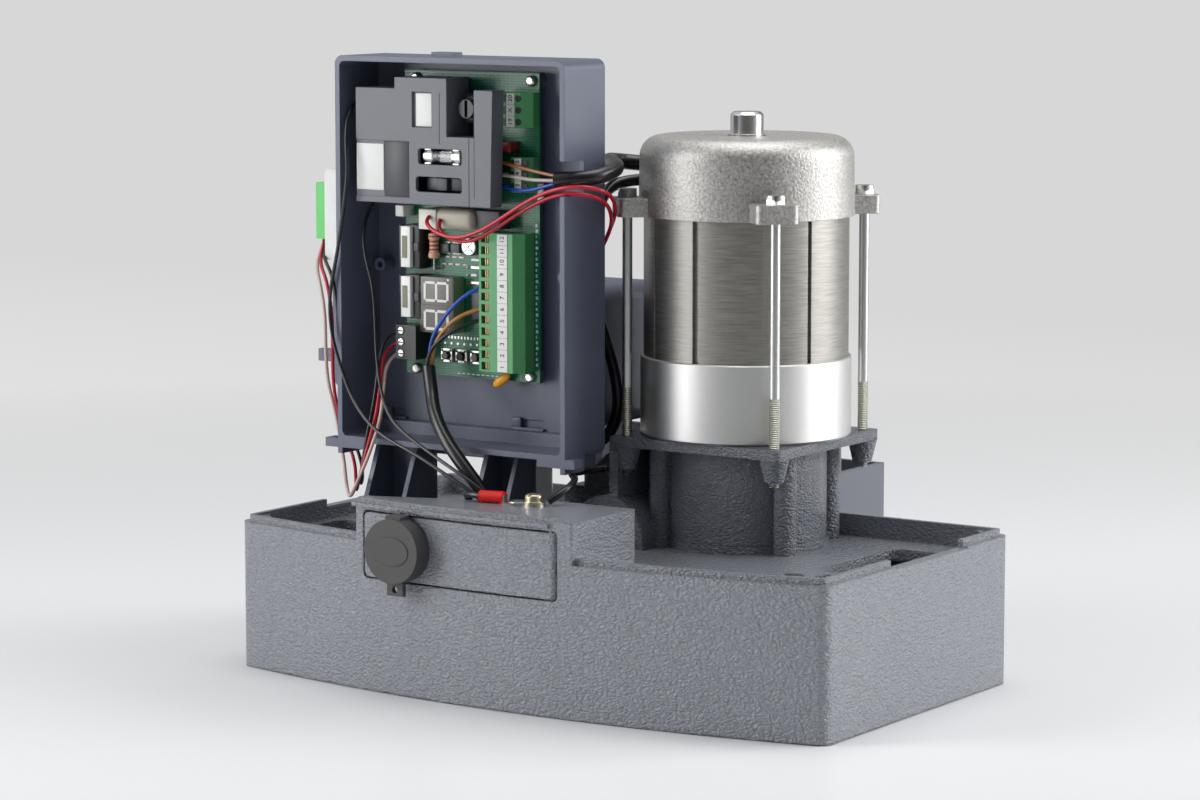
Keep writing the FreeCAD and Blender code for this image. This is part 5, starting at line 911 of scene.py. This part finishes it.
for shift in (-1.2, 1.2):
    add_rod(extras, (-44.6 + shift, -25.8, 131.4), (-44.2 + shift, board_y, 133.0), 0.3, 3, 12)
add_box(extras, (-27.9, -24.4, 209.0), (-25.0, board_y, 217.4), 1, 0.3)
finish_piece("board_extras", extras, [dark_red, gloss_white, orange_glaze, tinned],
             "board_components")


# The two plug sockets at the left of the board: a white moulded frame in a black housing,
# with a sunk mouth and a latch.
olive_recess = moulded_plastic("socket recess", (0.20, 0.20, 0.13), 0.5)
sockets = bmesh.new()
for low, high in ((177.6, 197.0), (155.4, 174.8)):
    add_box(sockets, (-95.4, -31.4, low), (-86.4, board_y, high), 1, 0.3)
    add_box(sockets, (-96.4, -33.2, low), (-95.2, -30.0, high), 1, 0.2)
    add_box(sockets, (-95.4, -33.4, low + 0.6), (-90.2, -31.0, high - 0.6), 0, 0.25)
    add_box(sockets, (-94.6, -33.5, low + 4.8), (-91.8, -33.2, high - 4.8), 2)
    middle = (low + high) / 2
    add_box(sockets, (-90.2, -31.9, middle - 2.0), (-86.8, -31.0, middle + 2.0), 3, 0.2)
finish_piece("plug_sockets", sockets, [gloss_white, black_plastic, olive_recess, chip_case],
             "board_components")


# The frames of the three push buttons: a folded tinned cage round each black plunger, with
# four pegs and four legs.
button_z = 139.3
buttons = bmesh.new()
for x in (-75.6, -67.6, -59.6):
    for side in (-1, 1):
        wall_x = x + side * 2.5
        wall_z = button_z + side * 2.5
        add_box(buttons, (wall_x - 0.5, -26.5, button_z - 3.0), (wall_x + 0.5, board_y, button_z + 3.0),
                0, 0.1)
        add_box(buttons, (x - 2.0, -26.5, wall_z - 0.5), (x + 2.0, board_y, wall_z + 0.5), 0, 0.1)
        for rise in (-1, 1):
            peg_x = x + side * 2.3
            peg_z = button_z + rise * 2.3
            leg_x = x + side * 3.4
            leg_z = button_z + rise * 2.2
            add_rod(buttons, (peg_x, -26.8, peg_z), (peg_x, -26.3, peg_z), 0.5, 1, 16)
            add_box(buttons, (leg_x - 0.5, -23.5, leg_z - 0.4), (leg_x + 0.5, board_y, leg_z + 0.4), 1)
    add_box(buttons, (x - 2.6, -25.6, button_z - 2.6), (x + 2.6, board_y, button_z + 2.6), 1)
finish_piece("button_frames", buttons, [tinned, black_plastic], "board_components")


# The fuse cradle: a black moulded block with two pairs of tinned spring clips, and the
# smaller block of the slot below it.
cradle = bmesh.new()
add_box(cradle, (-77.5, -36.2, 224.5), (-55.5, board_y, 232.5), 0, 0.3)
for x in (-75.9, -60.7):
    for low in (225.1, 231.2):
        add_box(cradle, (x, -41.6, low), (x + 3.6, -36.0, low + 0.7), 1, 0.1)
add_box(cradle, (-77.0, -38.5, 213.4), (-56.0, board_y, 219.4), 0, 0.3)
add_box(cradle, (-70.0, -40.6, 213.6), (-64.6, -38.0, 219.2), 2, 0.3)
finish_piece("fuse_cradle", cradle, [black_plastic, tinned, chip_case], "board_components")


# The case under the force knob: a square moulded block with a knurled ring round the rim of
# the knob.
knurl_count = 24
knurl_ring = 4.7
trimmer = bmesh.new()
add_box(trimmer, (-62.0, -31.0, 243.1), (-50.0, board_y, 256.1), 0, 0.4)
for n in range(knurl_count):
    angle = math.radians(n * 360 / knurl_count)
    x = -56.0 + knurl_ring * math.cos(angle)
    z = 249.6 + knurl_ring * math.sin(angle)
    add_rod(trimmer, (x, -34.0, z), (x, -30.8, z), 0.65, 0, 12)
finish_piece("trimmer_case", trimmer, [chip_case], "board_components")


# The two-digit number display: a potted plastic block with unlit white segments, lying on
# its side and soldered to the board.
sage_plastic = moulded_plastic("sage display side", (0.20, 0.27, 0.15), 0.42)
display_face = moulded_plastic("grey display face", (0.105, 0.098, 0.092), 0.33)
segment_white = moulded_plastic("unlit segments", (0.72, 0.71, 0.67), 0.4, 0.01)
display = bmesh.new()
add_box(display, (-87.0, -31.0, 149.6), (-68.6, board_y, 174.4), 0, 0.15)
add_box(display, (-68.7, -30.8, 149.8), (-68.35, board_y, 174.2), 1)
for low, high in ((163.3, 172.4), (150.7, 159.8)):
    middle = (low + high) / 2
    for x in (-84.6, -78.3, -72.2):
        add_box(display, (x, -31.12, low + 0.8), (x + 1.3, -30.9, high - 0.8), 2)
    for left, right in ((-83.6, -78.5), (-77.2, -72.1)):
        for z in (low, high - 1.2):
            add_box(display, (left, -31.12, z), (right, -30.9, z + 1.2), 2)
add_rod(display, (-71.2, -31.12, 173.4), (-71.2, -30.9, 173.4), 0.6, 2, 20)
add_box(display, (-87.02, -31.02, 161.9), (-68.6, -30.9, 162.1), 3)
finish_piece("digit_display", display, [display_face, sage_plastic, segment_white, black_print_and_shade],
             "number_display")


# Chip resistors, chip capacitors and tinned pads, soldered flat on the board, and the short
# white ticks printed beside them.
crumbs = bmesh.new()
for row, z in enumerate((182.6, 179.4)):
    for n in range(7):
        x = -79.6 + n * 1.9
        add_box(crumbs, (x, -23.5, z), (x + 1.1, board_y, z + 0.7), 1 + (n + row) % 2)
        add_box(crumbs, (x - 0.3, -23.4, z), (x, board_y, z + 0.7), 0)
        add_box(crumbs, (x + 1.1, -23.4, z), (x + 1.4, board_y, z + 0.7), 0)
for n in range(11):
    x = -66.0 + (n % 4) * 3.1
    z = 171.2 + (n // 4) * 3.6
    add_box(crumbs, (x, -23.9, z), (x + 1.8, board_y, z + 1.0), 3 if n % 3 else 1)
    add_box(crumbs, (x - 0.4, -23.7, z), (x, board_y, z + 1.0), 0)
    add_box(crumbs, (x + 1.8, -23.7, z), (x + 2.2, board_y, z + 1.0), 0)
for n in range(14):
    x = -80.4 + n * 1.75
    add_box(crumbs, (x, -23.4, 146.6), (x + 0.8, board_y, 147.8), 0)
    if n % 2:
        add_rod(crumbs, (x, -23.3, 144.4), (x, board_y, 144.4), 0.55, 0, 14)
for n in range(26):
    z = 137.0 + n * 2.45
    add_box(crumbs, (-29.6, -23.12, z), (-28.4 - 0.3 * (n % 3), board_y, z + 1.4), 2)
for n in range(9):
    x = -72.0 + n * 2.6
    add_box(crumbs, (x, -23.12, 131.0), (x + 1.7, board_y, 131.5), 2)
for n in range(4):
    add_box(crumbs, (-63.5, -24.2, 171.6 + n * 3.4), (-55.0, board_y, 172.6 + n * 3.4), 2 if n % 2 else 0)
finish_piece("board_crumbs", crumbs, [tinned, band_brown, gloss_white, chip_case])
